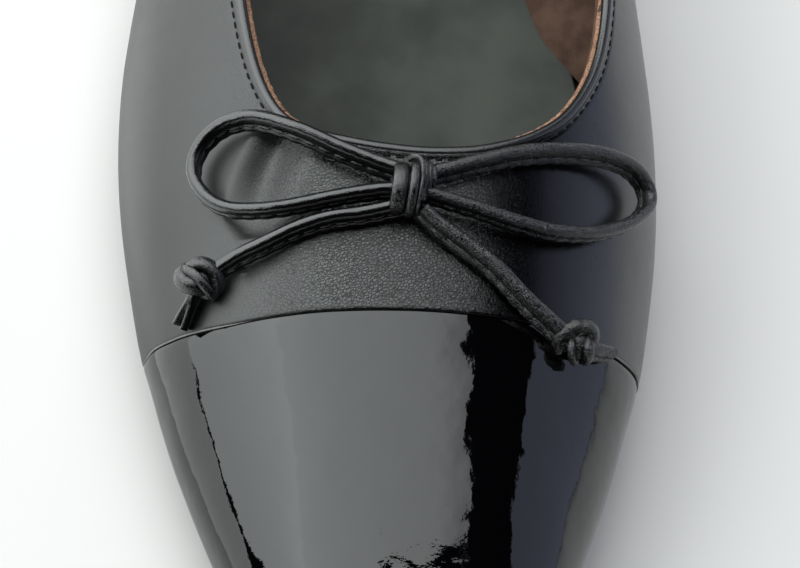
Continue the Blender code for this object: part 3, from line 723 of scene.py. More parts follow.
def makeUpper():
    even = np.linspace(0, around, vamp["columns"], endpoint=False)
    last = Last(np.unique(np.round(np.concatenate([even, footColumns % around]), 6)))
    seam = seamLength(last.at)
    inFront = np.clip(seam / (3 * mm), 0, 1)[:, None]  # 0 where the skin ends at the sole, 1 at the cap
    lipAlong = np.array([1.6, 0.7, 0.15, -0.10, -0.22, -0.24, -0.14, 0.06, 0.34]) * mm
    lipOut = np.array([-0.60, -0.52, -0.38, -0.22, -0.02, 0.14, 0.30, 0.39, 0.42]) * mm
    lips = len(lipOut)
    main = np.linspace(0, 1, vamp["rows"])[None, :] ** 1.05
    topFine = np.linspace(vamp["topFrom"] - 0.2 * mm, vamp["belowTopline"], vamp["topRows"])[None, :]
    start = seam[:, None] + 0.7 * mm * inFront
    stop = last.total[:, None] - vamp["topFrom"]
    lip = seam[:, None] + lipAlong[None, :] * inFront
    lengths = np.concatenate([lip, start + (stop - start) * main, last.total[:, None] - topFine], axis=1)
    points, out = last.place(lengths)
    fromTop = last.total[:, None] - lengths
    flat = points - shift
    behind = np.maximum(flat[..., 1] - seamAt(flat[..., 0]), 0)
    rise = vamp["foldHigh"] * bell(behind / vamp["foldReach"])
    rise[:, :lips] += (lipOut[None, :] - rise[:, :lips]) * inFront
    groove = -vamp["grooveDeep"] * bell((fromTop - vamp["stitchDown"]) / vamp["grooveWide"])
    band = vamp["bandHigh"] * bell((fromTop - vamp["bandDown"]) / vamp["bandWide"])
    outer = points + out * (rise + groove + band - creaseDepth(points))[..., None]
    inside = np.linspace(1, 0, vamp["insideRows"])[None, :]
    low = seam[:, None] + lipAlong[0] * inFront
    points, out = last.place(low + (last.total[:, None] - vamp["belowTopline"] - low) * inside)
    inner = points - out * (vamp["thick"] + creaseDepth(points))[..., None]
    skin = np.concatenate([outer, inner], axis=1)
    piece = ringPiece("upper_leather", skin, finishes["vamp"])
    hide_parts("upper")
    return last


def makeFoldEdge():
    # A pale line along the fold's edge where the seam runs down the shoe's two sides: a painted highlight
    for side, way in (("left", 1), ("right", -1)):
        at = seamPlaces[(seamLengths > 0.5 * mm) & (seamPlaces * way > 0)]
        last = Last(at)
        points, out = last.place((seamLength(at) - 0.20 * mm)[:, None])
        shown = np.abs(points[:, 0, 0]) > vamp["edgeFrom"]
        edge, up = points[shown, 0], out[shown, 0]
        path = smoothPath((edge + up * vamp["edgeLift"][side]) / mm, 0.3) * mm
        up = np.array([up[np.argmin(np.linalg.norm(edge - p, axis=1))] for p in path])
        radius = vamp["edgeRadius"] * np.clip((np.abs(path[:, 0]) - vamp["edgeFrom"]) / (5 * mm), 0.05, 1)
        across = np.cross(unit(np.gradient(path, axis=0)), up)
        turn = circle(8)
        ring = across[:, None] * np.cos(turn)[None, :, None] + up[:, None] * np.sin(turn)[None, :, None]
        tube = path[:, None] + ring * radius[:, None, None]
        tubePiece("fold_edge_" + side, [tube], finishes["cut"])


# The toe cap: patent leather that runs in under the fold
cap = {
    "columns": 300,
    "rows": 90,
    "thick": 0.65 * mm,
    "underFold": 1.4 * mm,
    "puff": 0.22 * mm,  # the leather swells so far, a little way in front of the seam
    "dip": 0.30 * mm,  # and goes down so far under the fold
}
# Shallow dents, and with a minus swellings, in the cap: across and along in mm, half-width and depth in mm
capWaves = (
    (9.8, -67.8, 6.0, 0.22), (10.5, -75.8, 3.0, -0.05), (13.5, -80.5, 5.0, 0.16), (9.5, -90.0, 4.0, -0.04),
    (-6.0, -74.0, 7.0, 0.05), (-16.0, -86.0, 6.0, -0.05), (2.0, -98.0, 6.0, 0.05), (-29.5, -84.0, 3.0, 0.04),
    (22.0, -84.0, 5.0, -0.04), (-22.0, -69.0, 4.0, 0.03),
)


def makeCap():
    covered = seamPlaces[seamLengths > 0]
    even = np.linspace(covered[0], covered[-1], cap["columns"])
    near = footColumns[(footColumns > covered[0]) & (footColumns < covered[-1])]
    last = Last(np.unique(np.round(np.concatenate([even, near]), 6)))
    seam = seamLength(last.at)[:, None]
    share = np.linspace(0, 1, cap["rows"])[None, :]
    under = np.minimum(cap["underFold"], seam / 2)
    lengths = (seam + under) * share
    points, out = last.place(lengths)
    near = (lengths - seam) / mm
    rise = shoe["capProud"] + cap["puff"] * bell((near + 5) / 5)
    rise -= cap["dip"] / (1 + np.exp(-(near + 0.4) * 3))
    for across, along, wide, deep in capWaves:
        away = np.hypot(points[..., 0] - across * mm, points[..., 1] - along * mm)
        rise -= deep * mm * bell(away / (wide * mm))
    outer = points + out * rise[..., None]
    inner = (points - out * (cap["thick"] - rise)[..., None])[:, ::-4]
    sections = np.concatenate([outer, inner], axis=1)
    piece = tubePiece("toe_cap_patent", [sections], finishes["patent"])
    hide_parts("toe_cap")


# The topline: a rolled edge of leather, the raw edge of the lining inside it, and the lining itself
topline = {
    "rollWide": 1.6 * mm,
    "rollHigh": 1.7 * mm,
    "edgeWide": 0.78 * mm,  # how far the raw edge stands in past the roll at the outer side
    "edgeWideInner": 0.48 * mm,
    "edgeWideFront": 0.25 * mm,
    "edgeDown": 0.10 * mm,  # how far it lies below the roll's middle
    "edgeDownFront": 0.9 * mm,
    "ragged": 0.06 * mm,
    "stitchPitch": 1.9 * mm,
    "stitchSize": np.array([0.62, 0.17, 0.15]) * mm,
    "liningRows": 52,
    "liningThick": 0.8 * mm,
    "liningDown": 0.3 * mm,  # the lining ends so far below the topline
    "liningUp": 0.4 * mm,  # and starts so far above the feather edge
    "liningPad": 0.25 * mm,  # the lining stands in so much further at its top
    "padReach": 4 * mm,
    "lapHigh": 13 * mm,  # the lap over the insole fades out over this height
    "archLap": 6.5 * mm,  # how far the lining runs in over the insole at the inner side of the arch
}


def toplineFrame(last):
    edge = last.points[:, -1]
    n = last.read(last.out, last.total[:, None] - 1.2 * mm)[:, 0]
    t = last.read(last.up, last.total[:, None] - 1.2 * mm)[:, 0]
    return edge, n, t


def makeTopline(last):
    edge, n, t = toplineFrame(last)
    angles = circle(20)
    wide, high = topline["rollWide"] / 2, topline["rollHigh"] / 2
    middle = edge - t * high + n * (shoe["rollProud"] - wide)
    sections = (
        middle[:, None]
        + n[:, None] * wide * np.cos(angles)[None, :, None]
        + t[:, None] * high * np.sin(angles)[None, :, None]
    )
    roll = ringPiece("topline_rolled_edge", sections, finishes["roll"])
    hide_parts("topline_roll")

    inward = np.column_stack([-last.plan, np.zeros(len(edge))])
    along = lambda way: np.sum(way * inward, axis=1)
    reach = along(middle - edge) + np.hypot(along(n) * wide, along(t) * high)
    side = np.clip(last.plan[:, 0] * 2 + 0.5, 0, 1)
    front = np.clip((-last.plan[:, 1] - 0.45 + 0.12 * side) / 0.35, 0, 1) * (edge[:, 1] < -0.02)
    out = topline["edgeWide"] * (1 - side) + topline["edgeWideInner"] * side
    out = out * (1 - front) + topline["edgeWideFront"] * front
    down = topline["edgeDown"] * (1 - front) + topline["edgeDownFront"] * front
    rough = np.random.default_rng(4)
    ragged = rough.normal(0, topline["ragged"], (4, len(edge)))
    ragged = (ragged + np.roll(ragged, 1, 1) * 0.6) / 1.2
    sections = []
    for way, below, wave in (
        (reach - 0.7 * mm, 1.3 * mm, 0),
        (reach - 0.7 * mm, 0, 0),
        (reach, 0, ragged[0]),
        (reach + out * 0.7, 0.05 * mm, ragged[1]),
        (reach + out, 0.3 * mm, ragged[2]),
        (reach + out, 1.3 * mm, ragged[3]),
    ):
        place = edge + inward * (way + wave * 0.6)[:, None]
        place[:, 2] = middle[:, 2] - down - below + wave
        sections.append(place)
    ringPiece("lining_raw_edge", np.stack(sections, axis=1), finishes["edge"])


def makeLining(last):
    rows = np.linspace(0, 1, topline["liningRows"])[None, :] ** 1.3
    low, down = topline["liningUp"], topline["liningDown"]
    lengths = low + (last.total[:, None] - down - low) * rows
    points, out = last.place(lengths)
    fromTop = last.total[:, None] - lengths
    extra = topline["liningPad"] * bell(fromTop / topline["padReach"])
    sunk = np.maximum(creaseDepth(points), 0)  # the lining follows the creases
    face = points - out * (shoe["wall"] + extra + sunk)[..., None]
    back = (points - out * (shoe["wall"] - topline["liningThick"] + sunk)[..., None])[:, ::-4]
    lap = smoothSteps((-6, -2, 3, 10, 40, 62), (0, 0.42, 0.85, 1, 0.8, 0), face[:, :1, 1] / mm)
    lap *= topline["archLap"] * (last.plan[:, :1] > 0)
    foot = np.clip((face[..., 2] - soleTop(face[..., 1] - shift[1]) - 1.2 * mm) / topline["lapHigh"], 0, 1)
    face[..., :2] -= last.plan[:, None] * (lap * (1 - foot) ** 2.4)[..., None]
    ringPiece("lining", np.concatenate([face, back], axis=1), finishes["lining"])


def makeToplineStitches(last):
    out = toplineFrame(last)[1]
    place = last.read(last.points, last.total[:, None] - vamp["stitchDown"])[:, 0]
    place, out = (np.vstack([values, values[:1]]) for values in (place, out))
    along = lengthsAlong(place)
    want = np.linspace(0, along[-1], round(along[-1] / topline["stitchPitch"]), endpoint=False)
    places, ups = readRows(want, along, place), readRows(want, along, out)
    runs = np.roll(places, -1, 0) - np.roll(places, 1, 0)
    places = places - ups * 0.06 * mm
    beads("topline_stitches", places, runs, ups, topline["stitchSize"], finishes["thread"])


last = makeUpper()
makeFoldEdge()
makeCap()
makeTopline(last)
makeLining(last)
makeToplineStitches(last)
print("upper done")


# The bow, as cords: routes in millimetres across from the middle, forward of the throat's edge, and up
bowRoutes = {
    "leftLoop": (
        (-3.6, 6.0, 3.4), (-7.2, 4.9, 3.2), (-12.6, 2.8, 3.1), (-18.3, 0.0, 3.1), (-23.5, -2.5, 3.3),
        (-26.4, -3.1, 3.7), (-29.3, -2.5, 4.1), (-31.5, -0.3, 4.4), (-32.2, 2.5, 4.4), (-31.7, 5.0, 4.4),
        (-30.3, 7.5, 4.1), (-28.5, 9.3, 3.7), (-25.9, 10.5, 3.3), (-20.6, 11.0, 3.0), (-12.5, 9.8, 3.0),
        (-7.2, 8.9, 3.1), (-3.6, 8.7, 3.4),
    ),
    "rightLoop": (
        (-0.6, 6.2, 3.4), (2.6, 5.1, 3.2), (7.6, 3.1, 3.1), (13.8, 0.7, 3.1), (20.3, -1.3, 3.2),
        (26.9, -2.9, 3.6), (31.6, -3.4, 4.1), (34.4, -2.8, 4.5), (35.8, -1.2, 4.8), (35.6, 1.0, 4.9),
        (34.0, 3.4, 4.7), (31.0, 6.4, 4.2), (26.3, 9.2, 3.6), (22.0, 10.6, 3.3), (18.0, 11.2, 3.1),
        (12.4, 11.0, 3.1), (6.3, 10.0, 3.1), (-0.6, 8.9, 3.4),
    ),
    "leftTail": (
        (-3.4, 10.8, 3.2), (-6.4, 11.5, 2.8), (-9.8, 12.2, 2.6), (-13.8, 12.7, 2.5), (-17.8, 13.8, 2.5),
        (-21.7, 15.4, 2.6), (-25.6, 16.8, 2.7), (-28.4, 18.2, 3.0), (-30.6, 19.6, 3.4), (-31.1, 21.3, 3.1),
        (-31.8, 22.8, 3.0), (-32.4, 24.1, 2.8),
    ),
    "rightTail": (
        (-0.8, 11.0, 3.2), (1.7, 12.9, 2.8), (5.3, 14.9, 2.6), (10.3, 17.8, 2.6), (15.0, 21.5, 2.6),
        (19.1, 24.0, 2.7), (22.0, 25.4, 3.0), (26.0, 25.7, 2.8), (28.0, 25.2, 2.6), (29.8, 24.7, 2.6),
    ),
}
bow = {
    "centreKnot": (-3.1, 7.5, 0.0),
    "leftKnot": (-28.6, 18.7, -20.0),
    "rightKnot": (22.2, 25.5, 30.0),
    "centreSize": np.array([6.2, 8.4, 6.2]) * mm,
    "endSize": np.array([7.2, 5.2, 5.6]) * mm,
    "centreCore": ((3.0, 3.0, 2.5), (0.6, 0.2, -0.2)),  # half-sizes and place of the knot's filling, in mm
    "endCore": ((2.3, 2.1, 1.6), (0.0, 0.0, -0.3)),
    "step": 0.45 * mm,
    "stitchPitch": 2.5 * mm,
    "stitchSize": np.array([0.90, 0.12, 0.12]) * mm,
    "stitchAcross": 0.335,  # the stitches' place in the section, as shares of its thickness and width
    "stitchBelow": 0.125,
    "pinch": 0.16,  # how much narrower the foot is at the stitches, as a share
    "openReach": 4.5 * mm,  # the left end's fold opens over this
    "openWide": 0.45,
}
# Half of the folded strip's section: a round fold, a stitched pinch, and two cut edges below
laceHalf = (
    (0.00, 1.00), (0.24, 0.98), (0.46, 0.91), (0.66, 0.79), (0.82, 0.61), (0.91, 0.40), (0.91, 0.18),
    (0.83, 0.00), (0.71, -0.14), (0.60, -0.20), (0.58, -0.28), (0.68, -0.33), (0.80, -0.44), (0.80, -0.72),
    (0.68, -0.92), (0.42, -1.00), (0.14, -0.98), (0.00, -0.84),
)
laceSection = np.array([*laceHalf, *((-x, y) for x, y in laceHalf[-2:0:-1])])
# How far each lace's stitched foot swings out to one side, in degrees at shares of its length
laceSwing = {
    "leftLoop": ((0.0, 0.3, 0.5, 0.6, 1.0), (24, 26, 8, -4, -12)),
    "rightLoop": ((0.0, 0.3, 0.5, 0.6, 1.0), (-24, -28, -10, 4, 12)),
    "leftTail": ((0.0, 0.5, 1.0), (20, 20, 0)),
    "rightTail": ((0.0, 0.3, 0.8, 1.0), (-12, -26, -28, -8)),
}
# How upright each lace stands, against the vamp's own direction at 1
laceUpright = {"leftLoop": 1, "rightLoop": 1, "leftTail": 1, "rightTail": 3}

plainGrid = linesAt(np.linspace(0, around, 176, endpoint=False))[:, ::4] + shift
vampTree = BVHTree.FromPolygons(
    [Vector(p) for p in plainGrid.reshape(-1, 3)], gridFaces(*plainGrid.shape[:2], True, False)
)
throat = linesAt(np.array([0.0]))[0, -1] + shift


def below(across, forward):
    above = Vector((across * mm + shift[0], throat[1] - forward * mm, 1))
    hit, normal, _, _ = vampTree.ray_cast(above, Vector((0, 0, -1)))
    return hit, -normal if normal.z < 0 else normal


def seat(across, forward, height):
    hit, normal = below(across, forward)
    return hit + normal * height, normal


def evened(values, reach):
    # A running mean over so many rows to either side
    padded = np.pad(values, ((reach, reach), (0, 0)), mode="edge")
    return np.mean([padded[k : k + len(values)] for k in range(2 * reach + 1)], axis=0)


def laceRows(route):
    rows = []
    upright = Vector((0, 0, laceUpright[route]))
    for across, forward, lift in bowRoutes[route]:
        hit, normal = below(across, forward)
        rows.append([*(hit + Vector((0, 0, lift * mm))), *(normal + upright).normalized()])
    return smoothPath(np.array(rows), bow["step"])


def makeLace(name, route, seed, opens):
    rows = laceRows(route)
    middle, lean = evened(rows[:, :3], 2), evened(rows[:, 3:], 10)
    run = np.gradient(middle, axis=0)
    side = unit(np.cross(run, lean))
    up = unit(np.cross(side, run))
    length = lengthsAlong(middle)
    swing = np.tan(np.radians(smoothSteps(*laceSwing[route], length / length[-1])))
    rough = np.random.default_rng(seed)
    waves = sum(
        rough.uniform(0.3, 1) * np.sin(length / mm * f + rough.uniform(0, 6)) for f in (0.35, 0.8, 1.7, 2.9)
    )
    pinch = 0.5 + 0.5 * np.cos(2 * math.pi * length / bow["stitchPitch"])
    sections = np.empty((len(rows), len(laceSection), 3))
    for i in range(len(rows)):
        wide = shoe["laceThick"] / 2 * (1 + 0.02 * waves[i])
        high = shoe["laceWide"] / 2 * (1 - 0.015 * waves[i])
        shape = laceSection.copy()
        foot = shape[:, 1] < -0.1
        shape[foot, 0] *= 1.04 - bow["pinch"] * pinch[i] + rough.normal(0, 0.02, foot.sum())
        if opens:
            end = np.clip(1 - (length[-1] - length[i]) / bow["openReach"], 0, 1)
            shape[:, 0] *= 1 + bow["openWide"] * end
            shape[:, 1] *= 1 - 0.15 * end
            shape[:2, 1] -= np.array([0.60, 0.20]) * end
            shape[-1, 1] -= 0.20 * end
            shape[16, 1] += 0.5 * end
        shape[:, 0] -= swing[i] * np.maximum(0.3 - shape[:, 1], 0) * high / wide
        sections[i] = middle[i] + side[i] * wide * shape[:, :1] + up[i] * high * shape[:, 1:]
    piece = tubePiece(name, [sections], finishes["lace"])
    count = int(length[-1] / bow["stitchPitch"])
    want = (np.arange(count) + 0.5) * bow["stitchPitch"]
    swung = middle - side * (swing * 0.55 * shoe["laceWide"] / 2)[:, None]
    at, across, above, runs = (readRows(want, length, values) for values in (swung, side, up, run))
    offset = across * shoe["laceThick"] * bow["stitchAcross"]
    down = above * shoe["laceWide"] * bow["stitchBelow"]
    places, runs = np.vstack([at - offset - down, at + offset - down]), np.vstack([runs, runs])
    outward = np.vstack([above - across, above + across])
    # Grey thread: a painted highlight for the glints on the stitches
    look = finishes["laceThreadGlint"]
    beads(name + "_stitches", places, runs, outward, bow["stitchSize"], look)
    return piece, middle, length[-1]


def sweep(path, up, section):
    # Sections, shares of which are already in metres, along a path with an upward direction at each point
    run = unit(np.gradient(path, axis=0))
    side = unit(np.cross(run, up))
    over = np.cross(side, run)
    return path[:, None] + side[:, None] * section[None, :, :1] + over[:, None] * section[None, :, 1:]


def knotFrame(place, size):
    across, forward, turn = place
    middle, up = seat(across, forward, size[2] / 2 + shoe["gap"])
    ahead = Vector((math.sin(math.radians(turn)), -math.cos(math.radians(turn)), 0))
    side = up.cross(ahead).normalized()
    ahead = side.cross(up)
    return np.array(middle), np.array([side, ahead, up])


def ovalSection(wide, thick, count=14):
    angles = circle(count)
    shape = np.stack([np.cos(angles), np.sin(angles)], axis=1)
    return np.sign(shape) * np.abs(shape) ** 0.8 * np.array([wide / 2, thick / 2])


# Wraps of the centre knot: width, thickness, how far ahead the line is that they face away from, then a path
# of places across, ahead and up from the knot's middle, in mm
knotWraps = (
    (2.3, 1.2, 0, (
        (-0.9, 2.4, -3.0), (-1.2, 3.5, -1.6), (-1.3, 3.7, 0.0), (-1.3, 3.0, 1.5), (-1.2, 1.4, 2.6),
        (-1.0, -0.4, 2.7), (-0.8, -2.0, 1.8), (-0.7, -2.9, 0.2), (-0.7, -2.9, -1.6),
    )),
    (1.4, 1.3, 0, (
        (0.9, 2.4, -3.0), (0.7, 3.6, -1.6), (0.6, 3.9, 0.0), (0.6, 3.2, 1.6), (0.7, 1.6, 2.8),
        (0.9, -0.3, 3.1), (1.2, -2.0, 2.4), (1.4, -3.2, 0.8), (1.4, -3.2, -1.2),
    )),
    (0.6, 1.1, -0.6, (
        (1.9, 2.2, -2.9), (1.75, 3.5, -1.5), (1.6, 3.8, 0.1), (1.6, 3.1, 1.6), (1.7, 1.6, 2.7),
        (1.9, 0.0, 3.0), (2.1, -1.4, 2.6), (2.2, -2.6, 1.2),
    )),
    (0.9, 1.0, -0.6, (
        (2.4, 0.9, -0.8), (2.4, 1.0, 0.6), (2.45, 0.0, 1.9), (2.5, -1.4, 2.5), (2.5, -2.8, 2.0),
        (2.5, -3.5, 0.6), (2.5, -3.4, -0.8),
    )),
    (0.8, 0.9, -0.6, (
        (3.1, 0.7, -0.9), (3.1, 0.8, 0.4), (3.15, -0.1, 1.6), (3.2, -1.4, 2.2), (3.2, -2.7, 1.7),
        (3.2, -3.3, 0.5), (3.2, -3.2, -0.9),
    )),
    (0.8, 0.9, -0.6, (
        (3.75, 0.4, -1.0), (3.75, 0.4, 0.2), (3.8, -0.4, 1.2), (3.85, -1.4, 1.7), (3.85, -2.5, 1.3),
        (3.85, -3.0, 0.2), (3.85, -2.9, -1.0),
    )),
    (0.7, 0.9, -0.6, (
        (0.2, -3.4, 1.6), (0.7, -3.6, 2.5), (1.4, -3.3, 3.1), (1.9, -2.4, 3.3), (2.0, -1.2, 3.2),
        (1.9, -0.2, 2.8),
    )),
)


def knotCore(middle, axes, halfSizes, place):
    # A rounded filling between the wraps
    turn = circle(14)
    rings = []
    for t in np.linspace(-1, 1, 12):
        radius = math.sqrt(max(0.0, 1 - (t * 0.98) ** 2))
        ring = np.stack([np.full(14, t), np.cos(turn) * radius, np.sin(turn) * radius], axis=1)
        rings.append(middle + ((ring * halfSizes + place) * mm) @ axes)
    return np.array(rings)


def makeCentreKnot():
    middle, axes = knotFrame(bow["centreKnot"], bow["centreSize"])
    parts = []
    for wide, thick, ahead, places in knotWraps:
        local = smoothPath(places, 0.25) * mm
        ups = local * (0.15, 1, 1) - np.array([0, ahead, 0]) * mm
        parts.append(sweep(middle + local @ axes, ups @ axes, ovalSection(wide * mm, thick * mm)))
    parts.append(knotCore(middle, axes, *bow["centreCore"]))
    return tubePiece("bow_centre_knot", parts, finishes["knot"])


# Strands of the end knots: width, thickness, then places right, up and near as the camera sees them, in mm
endKnots = {
    "left": (
        (2.7, 2.5, (
            (0.9, -0.9, -0.8), (0.2, -0.9, 0.3), (-1.2, -0.8, 0.9), (-2.3, -0.2, 0.5), (-2.5, 0.7, -0.3),
            (-1.6, 1.3, -1.0), (-0.3, 1.2, -1.4),
        )),
        (2.3, 2.1, (
            (-1.7, 0.9, -0.6), (-1.0, 1.8, 0.2), (0.2, 2.2, 0.7), (1.6, 1.6, 0.8), (2.4, 0.3, 0.5),
            (2.3, -1.1, 0.0), (1.4, -1.9, -0.7), (0.2, -1.6, -1.4),
        )),
        (1.5, 1.1, (
            (-2.2, 1.5, 0.2), (-1.6, 1.3, 1.2), (-0.6, 0.6, 1.8), (0.4, -0.5, 1.9), (1.3, -1.6, 1.3),
            (1.8, -2.4, 0.2), (1.7, -2.5, -1.0),
        )),
    ),
    "right": (
        (1.8, 1.4, (
            (-2.9, -1.2, -0.9), (-3.1, 0.1, 0.4), (-2.5, 1.2, 1.3), (-1.4, 2.1, 1.7), (-0.1, 2.6, 1.6),
            (0.8, 2.6, 0.8),
        )),
        (2.2, 1.8, (
            (-0.9, 2.1, 0.6), (0.2, 2.4, 1.0), (1.3, 2.3, 0.9), (2.1, 1.6, 0.5), (2.2, 0.7, -0.2),
            (1.7, 0.2, -1.1),
        )),
        (1.3, 1.4, (
            (-0.4, 0.6, -0.4), (-0.8, 0.1, 0.8), (-0.9, -0.9, 1.3), (-0.8, -2.0, 0.8), (-0.5, -2.7, -0.4),
        )),
        (1.7, 1.6, (
            (1.4, 0.8, -0.4), (1.5, 0.0, 0.8), (1.5, -1.1, 1.1), (1.4, -2.1, 0.5), (1.1, -2.6, -0.6),
        )),
        (0.6, 0.7, ((-0.3, 0.8, 0.5), (0.3, 1.1, 1.0), (0.9, 1.3, 1.0), (1.4, 1.2, 0.5))),
    ),
}


def makeEndKnot(side):
    middle, _ = knotFrame(bow[side + "Knot"], bow["endSize"])
    axes = np.array(bpy.context.scene.camera.matrix_world.to_3x3().transposed())
    parts = []
    for wide, thick, places in endKnots[side]:
        local = smoothPath(places, 0.25) * mm
        ups = local + np.array([0, 0, 1.2]) * mm
        parts.append(sweep(middle + local @ axes, ups @ axes, ovalSection(wide * mm, thick * mm)))
    parts.append(knotCore(middle, axes, *bow["endCore"]))
    return tubePiece("lace_knot_" + side, parts, finishes["knot"])


# Each lace: name, route, seed, whether its end opens, what its far end is at, and the solids it replaces
laces = (
    ("lace_loop_left", "leftLoop", 1, False, "object", ("bow_loop_left",)),
    ("lace_loop_right", "rightLoop", 2, False, "object", ("bow_loop_right",)),
    ("lace_tail_left", "leftTail", 3, True, "bare", ("bow_tail_left", "tail_end_left")),
    ("lace_tail_right", "rightTail", 4, False, "bare", ("bow_tail_right", "tail_end_right")),
)


def makeBow():
    made = [makeLace(*row[:4]) for row in laces]
    centre, leftKnot, rightKnot = makeCentreKnot(), makeEndKnot("left"), makeEndKnot("right")
    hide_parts("bow_knot")
    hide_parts("tail_knot_left")
    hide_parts("tail_knot_right")
    extras = ([centre], [], [leftKnot], [rightKnot])
    for (piece, path, length), row, extra in zip(made, laces, extras):
        far, nodes = row[4:]
        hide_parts(*nodes)
        print(piece.name, "is", round(length / mm, 1), "mm long")


makeBow()
print("bow done")


# Sole, heel and insole
sole = {
    "lines": 240,
    "soft": 0.7 * mm,  # how far the edges are rounded
    "insoleSoft": 0.5 * mm,
    "heelSoft": 0.15 * mm,
    "liftSoft": 0.3 * mm,
    "dish": 0.5 * mm,
    "channelIn": 3.2 * mm,
    "channelWide": 0.3 * mm,
    "channelDeep": 0.25 * mm,
    "heelGap": 0.02 * mm,
    "heelLayer": 1.9 * mm,  # where the stack's layers meet, above the lift
    "seamDeep": 0.14 * mm,
    "seamWide": 0.12 * mm,
}


def featherLoop(count, distance):
    at = np.linspace(0, around, count, endpoint=False)
    columns, outward = columnsAt(at)
    return columns[:, :2] - outward * (columns[:, 2:3] - distance)


def makePlate(name, outline, bottom, thick, soft, look, dish=0.0, channel=False):
    # Strips straight across from rim to rim, with rounded rims and more rows where a channel runs
    rim = soft * (1 - np.cos(np.linspace(0, math.pi / 2, 6)))
    extra = sole["channelIn"] + np.array([-0.5, 0, 0.5]) * mm if channel else np.array([2, 3, 4]) * mm
    rings = []
    for i in range(len(outline) // 2 + 1):
        a, b = outline[i], outline[-i % len(outline)]
        wide = np.linalg.norm(b - a)
        run = (b - a) / wide if wide > 1e-9 else np.array([1.0, 0.0])
        near = np.concatenate([rim, extra, np.linspace(0.2, 0.5, 5) * wide])
        near = np.sort(np.minimum(near, wide / 2))
        across = np.concatenate([near, (wide - near)[::-1][1:]])
        inside = np.minimum(across, wide - across)
        lift = thick / 2 * (1 - np.sqrt(np.clip(1 - (1 - np.clip(inside / soft, 0, 1)) ** 2, 0, 1)))
        groove = bell((inside - sole["channelIn"]) / sole["channelWide"]) * sole["channelDeep"] * channel
        line = a + run * across[:, None]
        floor = bottom(line[:, 1])
        sag = dish * np.clip(1 - (2 * across / max(wide, 1e-9) - 1) ** 2, 0, 1)
        low = np.column_stack([line, floor + lift + groove])
        top = np.column_stack([line, floor + thick - lift - sag])
        rings.append(np.vstack([low, top[::-1]]) + shift)
    rings = np.array(rings)
    points, faces = weld(rings.reshape(-1, 3), gridFaces(*rings.shape[:2], False, True))
    return newPiece(name, points, faces, look)


def heelOutline(outline, count=150):
    # The outline behind the heel's breast, evenly spaced, with its front corners
    breast = shoe["heelBreast"] * shoe["length"]
    behind = outline[outline[:, 1] > breast]
    line = np.vstack([[behind[0, 0], breast], behind, [behind[-1, 0], breast]])
    along = lengthsAlong(line)
    curved = readRows(np.linspace(0, along[-1], count), along, line)
    front = curved[-1] + (curved[0] - curved[-1]) * np.linspace(0, 1, 30)[1:-1, None]
    return np.vstack([curved, front])


def makeBlock(name, outline, low, high, drawn, soft, look, layers=()):
    # A heel layer: softened edges, drawn in towards its foot, with grooves where its layers meet
    centre = outline.mean(axis=0)
    widest = np.abs(outline[:, 0]).max()
    turn = np.linspace(0, math.pi / 2, 5)
    rounded, drawnIn = soft * (1 - np.sin(turn)), soft * (1 - np.cos(turn))
    rows = [(low, widest * 0.5), *zip(low + rounded[::-1], drawnIn[::-1])]
    for layer in layers:
        rows += [(layer - sole["seamWide"], 0), (layer, sole["seamDeep"]), (layer + sole["seamWide"], 0)]
    rows += [*zip(high - rounded, drawnIn), (high, widest * 0.5)]
    rings = []
    for z, inset in rows:
        taper = drawn * (high - z) / (high - low) + inset
        ring = centre + (outline - centre) * (1 - taper / widest)
        rings.append(np.column_stack([ring, np.full(len(ring), z)]) + shift)
    return tubePiece(name, [np.array(rings)], look)


def makeSole():
    outline = featherLoop(sole["lines"] * 2, shoe["soleEdge"])
    look, slot = finishes["outsole"], "outsole_leather"
    plate = makePlate(
        "sole_leather", outline, soleBottom, shoe["soleThick"], sole["soft"], look, channel=True
    )
    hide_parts("outsole")

    inside = featherLoop(sole["lines"] * 2, -shoe["wall"] - shoe["gap"])
    look, slot = finishes["insole"], "insole_leather"
    bottom = lambda y: soleTop(y) + shoe["gap"]
    plate = makePlate(
        "insole_sock", inside, bottom, shoe["insoleThick"], sole["insoleSoft"], look, dish=sole["dish"]
    )
    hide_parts("insole")

    outline = heelOutline(featherLoop(sole["lines"] * 2, shoe["soleEdge"] - shoe["heelInset"]))
    lift, taper, gap = shoe["liftThick"], shoe["heelTaper"] / 2, sole["heelGap"]
    look, layers = finishes["heel"], (lift + sole["heelLayer"],)
    low, high = lift + gap, shoe["heelHeight"] - gap
    block = makeBlock("heel_stack", outline, low, high, taper, sole["heelSoft"], look, layers)
    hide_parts("heel")

    centre = outline.mean(axis=0)
    foot = centre + (outline - centre) * (1 - taper / np.abs(outline[:, 0]).max())
    look = finishes["lift"]
    block = makeBlock("heel_lift", foot, 0.0, lift, taper, sole["liftSoft"], look)
    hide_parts("top_lift")


makeSole()
print("sole done")


# Floor and lights; a fade is its axis, the brightness at its start, and the changes to its end and last edge
studio = {
    "floorColour": (0.612, 0.597, 0.587),
    "floorReach": 3.0,
    "worldColour": (0.29, 0.30, 0.34),
    "worldStrength": 1.0,
    "softboxColour": (0.955, 1.0, 0.99),
    "topRadiance": 4.2,
    "topFade": (0, 1.0, -0.42, -0.20),
    "leftRadiance": 5.1,
    "leftFade": (1, 0.56, 0.34, 0.0),
    "cardRadiance": 0.9,
    "cardFrom": 0.047,
    "rightPanel": (0.30, 0.345, 0.52),
    "front": -0.30,
    "back": 1.7,
    "ahead": -0.95,  # where the black flags in front end
    "topHigh": 1.2,
    "topRight": 0.56,
    "leftAway": 1.0,
    "flagRight": 1.12,
    "flagEnd": 1.3,
}


class Glow(Look):
    # The same node building for a light

    def __init__(self, light):
        light.use_nodes = True
        self.tree = light.node_tree
        self.shader = self.tree.nodes["Emission"]


